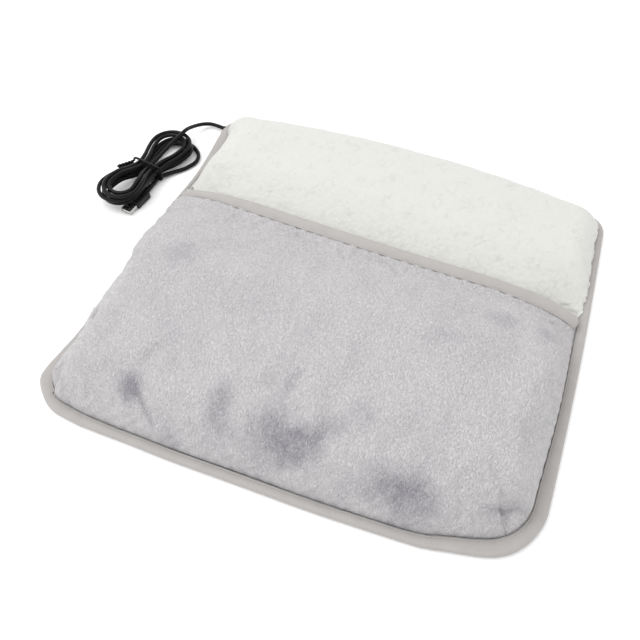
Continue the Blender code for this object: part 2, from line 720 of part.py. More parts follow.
def make_heater(group, cutters, looks):
    """Heating wire on its carrier, with its cut-out, solder sleeves and two leads."""
    start_x, row_y = CUTOUT_START
    cutout = block("thermal_cutout", (CUTOUT_LENGTH, CUTOUT_WIDTH, CUTOUT_THICKNESS), group,
                   looks["steel"], CUTOUT_THICKNESS / 8)
    cutout.location = (start_x + CUTOUT_LENGTH / 2, row_y, WIRE_AXIS)
    sleeve_start = start_x + CUTOUT_LENGTH + GAP
    supply_sleeve = rod("solder_sleeve_supply", SOLDER_SLEEVE_DIAMETER, SOLDER_SLEEVE_LENGTH,
                        group, looks["shrink"])
    supply_sleeve.matrix_world = pointing(
        (1, 0, 0), (sleeve_start + SOLDER_SLEEVE_LENGTH / 2, row_y, WIRE_AXIS))
    return_sleeve = rod("solder_sleeve_return", SOLDER_SLEEVE_DIAMETER, SOLDER_SLEEVE_LENGTH,
                        group, looks["shrink"])
    return_middle = RETURN_SLEEVE_START + SOLDER_SLEEVE_LENGTH / 2
    return_sleeve.matrix_world = pointing((0, 1, 0), (RETURN_LANE, return_middle, WIRE_AXIS))

    wire_start = sleeve_start + SOLDER_SLEEVE_LENGTH + GAP
    wire_points = heating_wire_points(wire_start, row_y)
    tube("heating_wire", wire_points, WIRE_DIAMETER, group, looks["wire"])

    inner_end, inward, aside = anchor_inner_end()
    supply_first = inner_end + aside * (LEAD_SPACING / 2)
    return_first = inner_end - aside * (LEAD_SPACING / 2)
    supply_end = Vector((start_x - GAP, row_y, WIRE_AXIS))
    return_end = Vector((RETURN_LANE, RETURN_SLEEVE_START + SOLDER_SLEEVE_LENGTH + GAP, WIRE_AXIS))
    leads = (
        ("supply_lead", supply_first, SUPPLY_ROUTE, supply_end, Vector((-1, 0, 0)), "red"),
        ("return_lead", return_first, RETURN_ROUTE, return_end, Vector((0, 1, 0)), "wire"),
    )
    channels = []
    for name, first, route, last, arrival, look in leads:
        points = lead_points(first, inward, route, last, arrival)
        tube(name, points, LEAD_DIAMETER, group, looks[look])
        channel = tube(name + "_channel", points, LEAD_CHANNEL_DIAMETER, cutters, looks[look])
        channels.append(as_mesh(channel, cutters))
    return channels


def lead_points(first, inward, route, last, arrival):
    """A lead's even points, straight and square at both of its ends."""
    straight = LEAD_DIAMETER
    middle = smooth_route((first + inward * straight, *route, last + arrival * straight),
                          3 * LEAD_DIAMETER)
    return [first, *middle, last]


def heating_wire_points(start_x, first_y):
    """Rows to and fro across the pad, joined by half turns, then a lane back to the return sleeve."""
    radius = WIRE_PITCH / 2
    points = [Vector((start_x, first_y, WIRE_AXIS))]
    for row in range(WIRE_ROWS - 1):
        rightwards = row % 2 == 0
        turn_x = WIRE_RIGHT if rightwards else WIRE_LEFT
        side = 1 if rightwards else -1
        middle_y = first_y - WIRE_PITCH * row - radius
        for step in range(WIRE_TURN_STEPS + 1):
            angle = math.pi / 2 - math.pi * step / WIRE_TURN_STEPS
            points.append(Vector((turn_x + side * radius * math.cos(angle),
                                  middle_y + radius * math.sin(angle), WIRE_AXIS)))
    last_y = first_y - WIRE_PITCH * (WIRE_ROWS - 1)
    lane_turn = Vector((RETURN_LANE + radius, last_y + radius))
    for step in range(WIRE_TURN_STEPS // 2 + 1):
        angle = -math.pi / 2 - math.pi * step / WIRE_TURN_STEPS
        points.append(Vector((lane_turn.x + radius * math.cos(angle),
                              lane_turn.y + radius * math.sin(angle), WIRE_AXIS)))
    points.append(Vector((RETURN_LANE, RETURN_SLEEVE_START - GAP, WIRE_AXIS)))
    return points


def anchor_axis():
    """Where the cord's anchor leaves the rear left corner, and its outward direction."""
    outward = Vector((-math.cos(ANCHOR_TURN), math.sin(ANCHOR_TURN), 0))
    reach = REAR_RADIUS / max(abs(outward.x), abs(outward.y))
    x, y = pad_point(REAR_RADIUS - HALF_WIDTH + outward.x * reach,
                     REAR - REAR_RADIUS + outward.y * reach)
    return Vector((x, y, ANCHOR_HEIGHT)) + outward * ANCHOR_PROUD, outward


def anchor_inner_end():
    """Middle of the anchor's inner end, the way inwards and the way aside."""
    outer, outward = anchor_axis()
    inner = outer - outward * (ANCHOR_LENGTH + GAP)
    aside = Vector((outward.y, -outward.x, 0))
    return inner, -outward, aside


def turned(name, profile, group, look):
    """A turned solid along Z: profile holds (radius, height) pairs from top to bottom."""
    bm = bmesh.new()
    corners = [bm.verts.new((radius, 0, height)) for radius, height in profile]
    for first, second in zip(corners, corners[1:]):
        bm.edges.new((first, second))
    mesh = bpy.data.meshes.new(name)
    bm.to_mesh(mesh)
    bm.free()
    mesh.materials.append(look)
    made = bpy.data.objects.new(name, mesh)
    group.objects.link(made)
    screw = made.modifiers.new("turned", "SCREW")
    screw.steps = 16
    screw.render_steps = 16
    screw.use_merge_vertices = True
    screw.merge_threshold = GAP / 10
    return made


def make_anchor(group, cutters, looks):
    """Moulded anchor that holds the cord in the corner seam, and the cutter for its way."""
    outer, outward = anchor_axis()
    radius = ANCHOR_DIAMETER / 2
    collar = ANCHOR_COLLAR_DIAMETER / 2
    profile = (
        (0.0, 0.0),
        (radius, 0.0),
        (radius, ANCHOR_COLLAR_LENGTH - ANCHOR_LENGTH),
        (collar, ANCHOR_COLLAR_LENGTH - ANCHOR_LENGTH),
        (collar, -ANCHOR_LENGTH),
        (0.0, -ANCHOR_LENGTH),
    )
    anchor = turned("cord_anchor", profile, group, looks["cord"])
    anchor.matrix_world = pointing(outward, outer)
    way = rod("cord_way", ANCHOR_DIAMETER + 2 * GAP, ANCHOR_LENGTH + 2 * CUT_OVERRUN, cutters,
              looks["cord"], 20)
    way.matrix_world = pointing(outward, outer - outward * (ANCHOR_LENGTH / 2))
    pocket = rod("collar_way", ANCHOR_COLLAR_DIAMETER + 2 * GAP, 2 * ANCHOR_COLLAR_LENGTH, cutters,
                 looks["cord"], 20)
    pocket.matrix_world = pointing(outward, outer - outward * ANCHOR_LENGTH)
    return [way, pocket]


def hank_point(along, across, height):
    """From the hank's own directions (along it towards the toe, across it) to the world."""
    cosine, sine = math.cos(HANK_TILT), math.sin(HANK_TILT)
    x = HANK_CENTRE[0] - along * sine + across * cosine
    y = HANK_CENTRE[1] - along * cosine - across * sine
    return Vector((x, y, height))


def hank_lift(along):
    """How far the strands are raised: over the tie at the waist, then over the plug."""
    over_tie = HANK_WAIST_LIFT * ease(1 + along / HANK_WAIST_LIFT_LENGTH)
    return over_tie + HANK_PLUG_LIFT * ease(along / HANK_PLUG_LIFT_LENGTH)


def hank_loops():
    """Axis of the looped cord, from the top layer's free end to the bottom layer's plug end.

    Odd half turns go round the cap away from the toe. The lanes step out through one layer and in
    through the next, and the cord drops a layer between them.
    """
    points = []
    steps = 2 * HANK_RUN_STEPS + HANK_CAP_STEPS
    for index in range(HANK_HALF_TURNS * steps + 1):
        turn = index / steps
        pair = turn / (2 * HANK_LAYER_TURNS)
        lane = HANK_WAIST_LANE + HANK_STEP * HANK_LAYER_TURNS * abs(pair - round(pair))
        drops = [ease((turn - HANK_LAYER_TURNS * drop) / HANK_CLIMB_TURN + 0.5)
                 for drop in range(1, HANK_LAYERS)]
        layer = HANK_LAYERS - 1 - sum(drops)
        points.append(loop_point(index // steps, index % steps, lane, layer))
    return points


def loop_point(half_turn, step, lane, layer):
    """One point of a half turn, which runs from waist to waist round one of the hank's ends.

    The last half turn swings out to the pad's side past its cap.
    """
    towards_toe = 1 if half_turn % 2 == 0 else -1
    cap = lane + HANK_CAP_GROWTH
    cap_step = step - HANK_RUN_STEPS
    angle = math.pi * max(0, min(HANK_CAP_STEPS, cap_step)) / HANK_CAP_STEPS
    if 0 <= cap_step <= HANK_CAP_STEPS:
        along = HANK_HALF_RUN + cap * math.sin(angle)
        across = cap * math.cos(angle)
    else:
        run_share = min(step, 2 * HANK_RUN_STEPS + HANK_CAP_STEPS - step) / HANK_RUN_STEPS
        along = HANK_HALF_RUN * run_share
        drawn_in = HANK_CAP_GROWTH * math.cos(math.pi / 2 * run_share) ** 2
        across = math.copysign(cap - drawn_in, math.cos(angle))
    along *= towards_toe
    across *= towards_toe
    if half_turn == HANK_HALF_TURNS - 1:
        past_cap = step / (HANK_RUN_STEPS + HANK_CAP_STEPS / 2) - 1
        across += HANK_SIDE_LOOP * math.sin(math.pi * max(0, past_cap))
    height = CORD_REST_HEIGHT + hank_lift(along) + HANK_LAYER_STEP * layer
    return hank_point(along, across, height)


def least_gap(points, diameter, skipped):
    """Least clear distance between strands, measured on fine points a few diameters apart."""
    fine = even_points(points, diameter / 4)
    least = math.inf
    for index, point in enumerate(fine):
        for other in fine[index + skipped:]:
            least = min(least, (point - other).length)
    return least - diameter


def make_hank(group, looks):
    """The hank and the cord's free stretch from the pad."""
    loops = hank_loops()
    lead = [hank_point(*place) for place in PLUG_LEAD_ROUTE]
    relief, heading = relief_place()
    square_end = relief - heading * (GAP + CORD_DIAMETER)
    end_run = smooth_route((loops[-1], *lead, square_end), 2 * CORD_DIAMETER)
    points = [*loops, *end_run[1:], relief - heading * GAP]
    tube("cord_hank", points, CORD_DIAMETER, group, looks["cord"], 1)
    print(f"cord_hank least gap to itself: {least_gap(points, CORD_DIAMETER, 16) / MM:.2f} mm")

    outer, outward = anchor_axis()
    start = outer + outward * GAP
    heading_in = (loops[1] - loops[0]).normalized()
    arrive = loops[0] - heading_in * GAP
    entry = [hank_point(*place) for place in HANK_ENTRY_ROUTE]
    route = (start + outward * CORD_DIAMETER, *CORD_ROUTE, *entry,
             arrive - heading_in * CORD_DIAMETER)
    free = [start, *smooth_route(route, 2.2 * CORD_DIAMETER), arrive]
    tube("cord_free_stretch", free, CORD_DIAMETER, group, looks["cord"])
    length = sum((b - a).length for a, b in zip(free, free[1:]))
    length += sum((b - a).length for a, b in zip(points, points[1:]))
    print(f"cord length from pad to plug: {length:.3f} m")


def make_tie(group, look):
    """Wire tie: once round the waist, its two tails twisted together."""
    reach = HANK_WAIST_LANE + HANK_STEP / 2 * HANK_LAYER_TURNS + CORD_DIAMETER / 2
    half_width = reach + 4 * GAP + TIE_DIAMETER / 2
    low = TIE_DIAMETER / 2 + GAP
    high = (CORD_REST_HEIGHT + hank_lift(0) + HANK_RISE + CORD_DIAMETER / 2
            + 2 * GAP + TIE_DIAMETER / 2)
    corner = min(TIE_CORNER_RADIUS, (high - low) / 2)
    middle = (low + high) / 2
    origin = hank_point(0.0, -half_width - TIE_DIAMETER, middle)
    level = hank_point(math.sin(TIE_TAIL_TURN), -math.cos(TIE_TAIL_TURN) - half_width, 0.0)
    level = (level - hank_point(0.0, -half_width, 0.0)).normalized()
    axis = level * math.cos(TIE_TAIL_RISE) + Vector((0, 0, math.sin(TIE_TAIL_RISE)))
    aside = level.cross(Vector((0, 0, 1)))
    upright = aside.cross(axis)
    steps = round(8 * TIE_TAIL_LENGTH / TIE_TWIST_PITCH)
    tails = []
    for phase in (0.0, math.pi):
        tail = []
        for step in range(steps + 1):
            gone = TIE_TAIL_LENGTH * step / steps
            angle = phase + 2 * math.pi * gone / TIE_TWIST_PITCH
            arm = upright * math.cos(angle) + aside * math.sin(angle)
            tail.append(origin + axis * gone + arm * TIE_TWIST_RADIUS)
        tails.append(tail)
    ring = []
    for quarter, (side, up) in enumerate(((-1, 1), (1, 1), (1, -1), (-1, -1))):
        for step in range(5):
            angle = math.pi - math.pi / 2 * (quarter + step / 4)
            ring.append(hank_point(0.0, side * (half_width - corner) + corner * math.cos(angle),
                                   middle + up * (high - middle - corner) + corner * math.sin(angle)))
    points = [*tails[0][::-1], *ring, *tails[1]]
    tube("cord_twist_tie", points, TIE_DIAMETER, group, look, 1)
    print(f"cord_twist_tie least gap to itself: {least_gap(points, TIE_DIAMETER, 12) / MM:.2f} mm")


def relief_place():
    """Where the plug's strain relief starts, and the way that the plug points."""
    along, across = RELIEF_START
    start = hank_point(along, across, PLUG_THICKNESS / 2 + CORD_REST_CLEARANCE)
    ahead = hank_point(along + math.cos(PLUG_TURN), across + math.sin(PLUG_TURN), start.z)
    return start, (ahead - start).normalized()


def make_plug(group, cutters, looks):
    """USB plug: ribbed strain relief, moulded body, metal shell, tongue and contacts."""
    start, heading = relief_place()
    side = Vector((heading.y, -heading.x, 0))
    frame = Matrix.Translation(start) @ Matrix((heading, side, (0, 0, -1))).transposed().to_4x4()

    def seat(piece, x, y=0.0, z=0.0):
        piece.matrix_world = frame @ Matrix.Translation((x, y, z))

    relief = turned("plug_strain_relief", relief_profile(), group, looks["cord"])
    relief.matrix_world = frame @ Matrix.Rotation(math.pi / 2, 4, "Y")
    body_start = RELIEF_LENGTH + GAP
    body = block("plug_body", (PLUG_LENGTH, PLUG_WIDTH, PLUG_THICKNESS), group, looks["plug"],
                 PLUG_ROUNDING)
    seat(body, body_start + PLUG_LENGTH / 2)

    shell_start = body_start + PLUG_LENGTH + GAP
    shell = block("plug_shell", (SHELL_LENGTH, SHELL_WIDTH, SHELL_THICKNESS), group,
                  looks["chrome"])
    seat(shell, shell_start + SHELL_LENGTH / 2)
    bore = block("shell_bore", (SHELL_LENGTH + 2 * CUT_OVERRUN, SHELL_WIDTH - 2 * SHELL_WALL,
                                SHELL_THICKNESS - 2 * SHELL_WALL), cutters, looks["chrome"])
    seat(bore, shell_start + SHELL_LENGTH / 2)
    cut(shell, bore)
    for order, across in enumerate((-SHELL_WINDOW_OFFSET, SHELL_WINDOW_OFFSET)):
        window = block(f"shell_window_{order}", (SHELL_WINDOW, SHELL_WINDOW,
                                                 SHELL_THICKNESS + CUT_OVERRUN), cutters,
                       looks["chrome"])
        seat(window, shell_start + SHELL_LENGTH / 2, across)
        cut(shell, window)

    tongue_width = SHELL_WIDTH - 2 * SHELL_WALL - 2 * GAP
    tongue_length = SHELL_LENGTH - TONGUE_SETBACK
    tongue_z = (SHELL_THICKNESS / 2 - SHELL_WALL - GAP) - TONGUE_THICKNESS / 2
    tongue = block("plug_tongue", (tongue_length, tongue_width, TONGUE_THICKNESS), group,
                   looks["tongue"])
    seat(tongue, shell_start + tongue_length / 2, 0.0, tongue_z)
    contact_z = tongue_z - TONGUE_THICKNESS / 2 - GAP - CONTACT_THICKNESS / 2
    for order in range(CONTACT_COUNT):
        across = (order - (CONTACT_COUNT - 1) / 2) * CONTACT_PITCH
        contact = block(f"plug_contact_{order + 1}",
                        (CONTACT_LENGTH, CONTACT_WIDTH, CONTACT_THICKNESS), group, looks["gold"])
        seat(contact, shell_start + tongue_length - CONTACT_LENGTH / 2 - TONGUE_SETBACK, across,
             contact_z)


def relief_profile():
    """Strain relief: ribs that taper from the plug's body to the cord."""
    narrow, wide = RELIEF_NARROW_DIAMETER / 2, RELIEF_WIDE_DIAMETER / 2
    pitch = RELIEF_LENGTH / (2 * RELIEF_RIBS)
    profile = [(0.0, RELIEF_LENGTH), (wide, RELIEF_LENGTH)]
    for rib in range(RELIEF_RIBS - 1, -1, -1):
        radius = mix(narrow, wide, rib / (RELIEF_RIBS - 1))
        low = 2 * pitch * rib + pitch
        profile.append((radius, low))
        if rib:
            profile.append((radius - RELIEF_GROOVE_DEPTH, low))
            profile.append((radius - RELIEF_GROOVE_DEPTH, low - pitch))
            next_radius = mix(narrow, wide, (rib - 1) / (RELIEF_RIBS - 1))
            profile.append((next_radius, low - pitch))
    profile.append((narrow, 0.0))
    profile.append((0.0, 0.0))
    return profile


def make_looks():
    """Every material of the foot warmer."""
    return {
        "plush": material("grey_plush", (0.56, 0.56, 0.58), 0.9),
        "sherpa": material("white_sherpa", (0.86, 0.86, 0.84), 0.95),
        "tape": material("taupe_binding_tape", (0.46, 0.43, 0.41), 0.85),
        "underside": material("grey_underside_fabric", (0.42, 0.41, 0.41), 0.85),
        "wadding": material("white_wadding", (0.88, 0.88, 0.88), 0.95),
        "felt": material("felt_carrier", (0.8, 0.8, 0.78), 0.95),
        "wire": material("white_silicone_wire", (0.75, 0.75, 0.73), 0.5),
        "red": material("red_silicone_wire", (0.5, 0.03, 0.03), 0.5),
        "steel": material("cutout_steel", (0.6, 0.6, 0.6), 0.35, 1.0),
        "shrink": material("heat_shrink", (0.03, 0.03, 0.03), 0.5),
        "cord": material("black_cord_rubber", (0.02, 0.02, 0.022), 0.4),
        "plug": material("black_plug_plastic", (0.025, 0.025, 0.027), 0.45),
        "chrome": material("plug_shell_metal", (0.75, 0.75, 0.76), 0.22, 1.0),
        "tongue": material("plug_tongue_plastic", (0.7, 0.7, 0.7), 0.5),
        "gold": material("contact_gold", (0.85, 0.62, 0.25), 0.25, 1.0),
    }


def main():
    """Build the whole foot warmer."""
    clear_scene()
    group = collection(COLLECTION_NAME)
    cutters = collection(COLLECTION_NAME + "_cutters")
    looks = make_looks()
    wadding, sherpa_sheet, binding = make_base(group, looks)
    make_cover(group, looks)
    for way in make_anchor(group, cutters, looks):
        for layer in (bpy.data.objects["underside_cover"], sherpa_sheet, binding, wadding):
            cut(layer, way)
    for channel in make_heater(group, cutters, looks):
        cut(wadding, channel)
    make_hank(group, looks)
    make_tie(group, looks["cord"])
    make_plug(group, cutters, looks)


main()
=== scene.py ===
"""Looks of a heated foot warmer: plush pocket, sherpa cushion, taped edges and a tied cord.

The pad lies on the floor with its toe end towards -Y. Lengths are in metres.
"""

import logging
import math
from collections.abc import Callable
from dataclasses import dataclass, field
from enum import Enum

import bmesh
import bpy
import numpy as np
from mathutils import Matrix, Vector, noise


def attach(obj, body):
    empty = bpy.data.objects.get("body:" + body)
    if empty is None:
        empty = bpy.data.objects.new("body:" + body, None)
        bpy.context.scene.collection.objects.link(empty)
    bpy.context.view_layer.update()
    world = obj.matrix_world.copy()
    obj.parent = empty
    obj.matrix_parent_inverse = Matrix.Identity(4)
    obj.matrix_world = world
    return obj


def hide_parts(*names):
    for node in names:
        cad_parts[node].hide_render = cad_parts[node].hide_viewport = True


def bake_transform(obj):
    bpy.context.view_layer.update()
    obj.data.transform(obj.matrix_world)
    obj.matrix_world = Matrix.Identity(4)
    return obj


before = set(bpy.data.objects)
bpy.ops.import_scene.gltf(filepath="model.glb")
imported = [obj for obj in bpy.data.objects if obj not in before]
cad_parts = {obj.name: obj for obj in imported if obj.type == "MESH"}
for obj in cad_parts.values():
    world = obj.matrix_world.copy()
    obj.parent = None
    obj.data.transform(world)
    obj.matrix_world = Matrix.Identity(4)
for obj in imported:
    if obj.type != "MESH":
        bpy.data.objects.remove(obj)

Array = np.ndarray
Steps = tuple[tuple[float, float, float], ...]
Source = bpy.types.Node | bpy.types.NodeSocket
Pattern = tuple[Source, Source, bpy.types.Node | None]
MM = 0.001
BASE = "base"
LOG = logging.getLogger("foot_warmer")
# Without a seed the bends between the curls would differ from run to run
NOISE_SEED = 7


def clamp(value: Array) -> Array:
    """Limit values to 0..1."""
    return np.clip(value, 0.0, 1.0)


def ease(value: Array) -> Array:
    """Smooth step from 0 to 1."""
    t = clamp(value)
    return t * t * (3 - 2 * t)


def mix(low: Array, high: Array, share: Array) -> Array:
    """Blend two values."""
    return low + (high - low) * share


def swell(*insets: Array) -> Array:
    """Height share of a stuffed edge: a quarter ellipse over each edge's run."""
    product = 1.0
    for inset in insets:
        product = product * np.sqrt(1 - (1 - clamp(inset)) ** 2)
    return product


def unit(vectors: Array) -> Array:
    """Vectors of length one."""
    return vectors / np.maximum(np.linalg.norm(vectors, axis=-1, keepdims=True), 1e-12)


def ramps(place: Array, *steps: tuple[float, float, float]) -> Array:
    """Sum of smooth steps: an amount, where it starts and its run, which is negative to fall."""
    return sum(amount * ease((place - start) / run) for amount, start, run in steps)


def humps(place: Array, *bumps: tuple[float, float, float]) -> Array:
    """Sum of smooth bumps: an amount, its middle and its reach to either side."""
    return sum(amount * ease(1 - np.abs(place - middle) / reach) for amount, middle, reach in bumps)


def normals(skin: Callable[[Array, Array], Array], x: Array, y: Array, probe: float) -> Array:
    """Outward directions of a skin over the sewing pattern.

    Args:
        skin: gives the places of pattern points.
        x: pattern places across.
        y: pattern places along.
        probe: how far to either side the skin is felt.

    Returns:
        One vector of length one for each point.
    """
    return unit(np.cross(skin(x + probe, y) - skin(x - probe, y),
                         skin(x, y + probe) - skin(x, y - probe)))


def waves(points: Array, size: float, seed: float = 0.0, detail: int = 2) -> Array:
    """Soft noise about -1..1 with bumps of one size.

    Args:
        points: places in metres.
        size: spacing of the bumps in metres.
        seed: shift that gives another pattern.
        detail: octaves.

    Returns:
        One value for each point.
    """
    shift = Vector((seed * 7.31, seed * 3.17, seed * 5.03))
    return np.array([noise.fractal(Vector(p) / size + shift, 1.0, 2.0, detail) for p in points])


def cells(points: Array, size: float, bend: float, bends_per_cell: float) -> tuple[Array, Array]:
    """Distances to the nearest two middles of bent cells, in cell sizes.

    Args:
        points: places in metres.
        size: spacing of the cells in metres.
        bend: how far the cells are bent, in cell sizes.
        bends_per_cell: how finely they are bent.

    Returns:
        Distance to the nearest middle and to the next one, for each point.
    """
    places = [Vector(p) / size for p in points]
    near = [noise.voronoi(place + bend * noise.noise_vector(place * bends_per_cell))[0][:2]
            for place in places]
    return tuple(np.array(near).T)


def curls(points: Array, size: float) -> Array:
    """Heights of tight curls, rounded and divided by cracks: 1 on a curl and 0 in a crack."""
    nearest, second = cells(points, size, 0.42, 0.8)
    crest = 1 - np.minimum(1.0, nearest / 0.8) ** 2
    return crest * 0.45 + np.minimum(1.0, (second - nearest) / 0.18) * 0.55


def veins(points: Array, size: float, width: float) -> Array:
    """How close each point is to a thin winding crack between bent cells: 1 in it."""
    nearest, second = cells(points, size, 0.55, 1.3)
    return np.maximum(0.0, 1 - (second - nearest) * size / width)


def stuffed_edge(distance: Array, seam: float, run: float, length: float) -> Array:
    """Pattern inset of a point that lies a distance in from the edge, measured up the stuffed side.

    Args:
        distance: distance over the surface from the pattern's edge.
        seam: inset at which the side rises.
        run: level reach of the rounded side.
        length: length over the rounded side.

    Returns:
        Insets in the flat pattern.
    """
    up = distance - seam
    rolled = seam + run * (1 - np.cos(np.pi / 2 * clamp(up / length)))
    return np.where(up < 0, distance, np.where(up < length, rolled, seam + run + up - length))


@dataclass(frozen=True)
class PadPattern:
    """The pad's flat sewing pattern, the outline it is sewn to and the heights over it."""

    # Flat outline: its size, bows, skews and corner radii
    half_width: float = 225 * MM
    depth: float = 419 * MM
    front_bow: float = 5.5 * MM
    front_skew: float = 2.5 * MM
    rear_bow: float = 26 * MM
    rear_skew: float = 7.7 * MM
    left_bow: float = -1.4 * MM
    right_bow: float = 3.7 * MM
    shift: float = 1.9 * MM
    toe_left_radius: float = 34 * MM
    toe_right_radius: float = 62 * MM
    rear_radius: float = 18 * MM
    # Row of the pocket's mouth, and how far its skew and bow reach
    mouth_from_toe: float = 274 * MM
    mouth_skew: float = 10 * MM
    mouth_bow: float = 12 * MM
    mouth_reach: float = 130 * MM
    # Gap between layers, seams and heights
    gap: float = 0.3 * MM
    seam_top: float = 5.5 * MM
    seam_inset: float = 9.6 * MM
    cover_inset: float = 10 * MM
    cover_seat: float = 5.8 * MM
    floor_height: float = 19.5 * MM
    hump_height: float = 34 * MM
    ledge: float = 7.4 * MM
    # Level runs over which the heights rise
    floor_run: float = 60 * MM
    rear_side_run: float = 24 * MM
    rear_end_run: float = 26 * MM
    hump_rise: float = 55 * MM
    toe_crown: float = 55 * MM
    mouth_crown: float = 33 * MM
    mouth_slope: float = 110 * MM
    cover_front_run: float = 62 * MM
    cover_side_run: float = 32 * MM
    mouth_side_run: float = 105 * MM
    # Where the tape shows wider: amount, start or middle, run or reach
    draw_reach: float = 62 * MM
    toe_slack: float = 1.2 * MM
    toe_draw: Steps = ((5 * MM, 115 * MM, 70 * MM), (2 * MM, -130 * MM, -70 * MM))
    right_draw_least: float = 1 * MM
    right_draw: Steps = ((2.6 * MM, -60 * MM, -100 * MM),)
    left_draw: Steps = ((4.5 * MM, -120 * MM, -50 * MM),)
    left_draw_humps: Steps = ((3 * MM, -152 * MM, 35 * MM), (4.5 * MM, 150 * MM, 55 * MM),
                              (-4 * MM, 75 * MM, 55 * MM))
    # Where sewing pulls the outline: amount, start or middle, run or reach
    pull_edge: float = 226 * MM
    pull_reach: float = 90 * MM
    toe_pull: Steps = ((1.6 * MM, 60 * MM, -100 * MM), (1 * MM, -80 * MM, -50 * MM),
                       (2.2 * MM, -170 * MM, -30 * MM))
    toe_pull_hump: Steps = ((4.8 * MM, 171 * MM, 42 * MM),)
    left_pull: float = 6.2 * MM
    left_pull_row: float = -190 * MM
    left_tuck: Steps = ((-4.5 * MM, 112 * MM, 85 * MM),)
    # Thickness of the layers at their seams
    sherpa_at_seam: float = 2.7 * MM
    sherpa_full: float = 5 * MM
    backing_least: float = 2.8 * MM
    rim_pinch: float = 0.3
    rim_pinch_run: float = 20 * MM
    mouth_pinch: float = 0.36
    mouth_pinch_run: float = 50 * MM

    @property
    def toe(self) -> float:
        """Pattern's toe edge."""
        reach = self.rear_bow + self.rear_skew**2 / (4 * self.rear_bow)
        return (self.front_bow - reach - self.depth) / 2

    @property
    def rear(self) -> float:
        """Pattern's rear edge."""
        return self.toe + self.depth

    @property
    def middle(self) -> float:
        """Half way from toe to rear."""
        return (self.toe + self.rear) / 2

    @property
    def mouth(self) -> float:
        """Pattern row of the pocket's mouth."""
        return self.toe + self.mouth_from_toe

    def round_corner(self, x: Array, y: Array) -> tuple[Array, Array]:
        """Draw the pattern's corner squares in to quarter discs."""
        side = np.where(x > 0, 1.0, -1.0)
        end = np.where(y > self.middle, 1.0, -1.0)
        toe_radius = np.where(side > 0, self.toe_right_radius, self.toe_left_radius)
        radius = np.where(end > 0, self.rear_radius, toe_radius)
        centre_x = side * (self.half_width - radius)
        centre_y = np.where(end > 0, self.rear - radius, self.toe + radius)
        off_x, off_y = x - centre_x, y - centre_y
        plain = (side * off_x <= 0) | (end * off_y <= 0)
        reach = np.maximum(np.abs(off_x), np.abs(off_y))
        share = np.where(plain, 1.0, reach / np.maximum(np.hypot(off_x, off_y), 1e-9))
        return centre_x + off_x * share, centre_y + off_y * share

    def drawn_in(self, x: Array, y: Array) -> tuple[Array, Array]:
        """Shift pattern points inwards at the places where the tape shows wider."""
        span = self.draw_reach - self.seam_inset
        left, right, toe = (ease(inset / self.seam_inset) * ease((self.draw_reach - inset) / span)
                            for inset in self.insets(x, y, 0.0)[:3])
        at_right = self.right_draw_least + ramps(y, *self.right_draw)
        at_right = at_right * ease((self.mouth + 30 * MM - y) / (50 * MM))
        at_left = ramps(y, *self.left_draw) + humps(y, *self.left_draw_humps)
        at_toe = ramps(x, *self.toe_draw) - self.toe_slack
        return x + at_left * left - at_right * right, y + at_toe * toe

    def sewn(self, x: Array, y: Array) -> tuple[Array, Array]:
        """Sew pattern points to the pad's real outline."""
        x, y = self.round_corner(*self.drawn_in(x, y))
        across = x / self.half_width
        along = (y - self.middle) / (self.depth / 2)
        middle_share = 1 - across * across
        rear = np.maximum(0.0, along) * (self.rear_bow * middle_share - self.rear_skew * across)
        front = np.maximum(0.0, -along) * (self.front_skew * across - self.front_bow * middle_share)
        at_mouth = ease(1 - np.abs(y - self.mouth) / self.mouth_reach)
        mouth = at_mouth * (self.mouth_skew * across + self.mouth_bow * middle_share)
        side_bow = np.where(across > 0, self.right_bow, self.left_bow)
        return self.pulled(x + side_bow * across * (1 - along * along) - self.shift,
                           y + rear + front - mouth)

    def pulled(self, x: Array, y: Array) -> tuple[Array, Array]:
        """Pull the sewn outline out of true at the toe end and the left side, as sewing does."""
        at_toe = ease(1 - (y + self.pull_edge) / self.pull_reach)
        at_left = ease(1 - (x + self.pull_edge) / self.pull_reach)
        inwards = ramps(x, *self.toe_pull) + humps(x, *self.toe_pull_hump)
        reach = np.where(y > self.left_pull_row, 70 * MM, 28 * MM)
        outwards = humps(y, (self.left_pull, self.left_pull_row, reach), *self.left_tuck)
        return x - at_left * outwards, y + at_toe * inwards

    def insets(self, x: Array, y: Array, rim: float) -> tuple[Array, Array, Array, Array]:
        """Distances to the left, right, toe and rear edges of an inset rim."""
        return (x + self.half_width - rim, self.half_width - rim - x, y - self.toe - rim,
                self.rear - rim - y)

    def nearest(self, x: Array, y: Array, rim: float) -> Array:
        """Distance to the nearest of the left, right and toe edges of an inset rim."""
        return np.minimum.reduce(self.insets(x, y, rim)[:3])

    def placed(self, x: Array, y: Array, height: Array) -> Array:
        """Sewn places of pattern points at their heights."""
        return np.stack([*self.sewn(x, y), height], axis=-1)

    def rear_share(self, y: Array) -> Array:
        """How far past the mouth a point is: 0 in the pocket, 1 on the hump."""
        return ease((y - self.mouth - 3 * MM) / self.hump_rise)

    def base_top(self, x: Array, y: Array) -> Array:
        """Height of the sherpa base's top."""
        left, right, _, rear = self.insets(x, y, self.seam_inset)
        pocket = ease((self.nearest(x, y, self.seam_inset) - self.ledge) / self.floor_run)
        hump = swell(left / self.rear_side_run, right / self.rear_side_run,
                     rear / self.rear_end_run)
        past = self.rear_share(y)
        rise = (self.floor_height - self.seam_top) * pocket * (1 - past)
        return self.seam_top + rise + (self.hump_height - self.seam_top) * hump * past

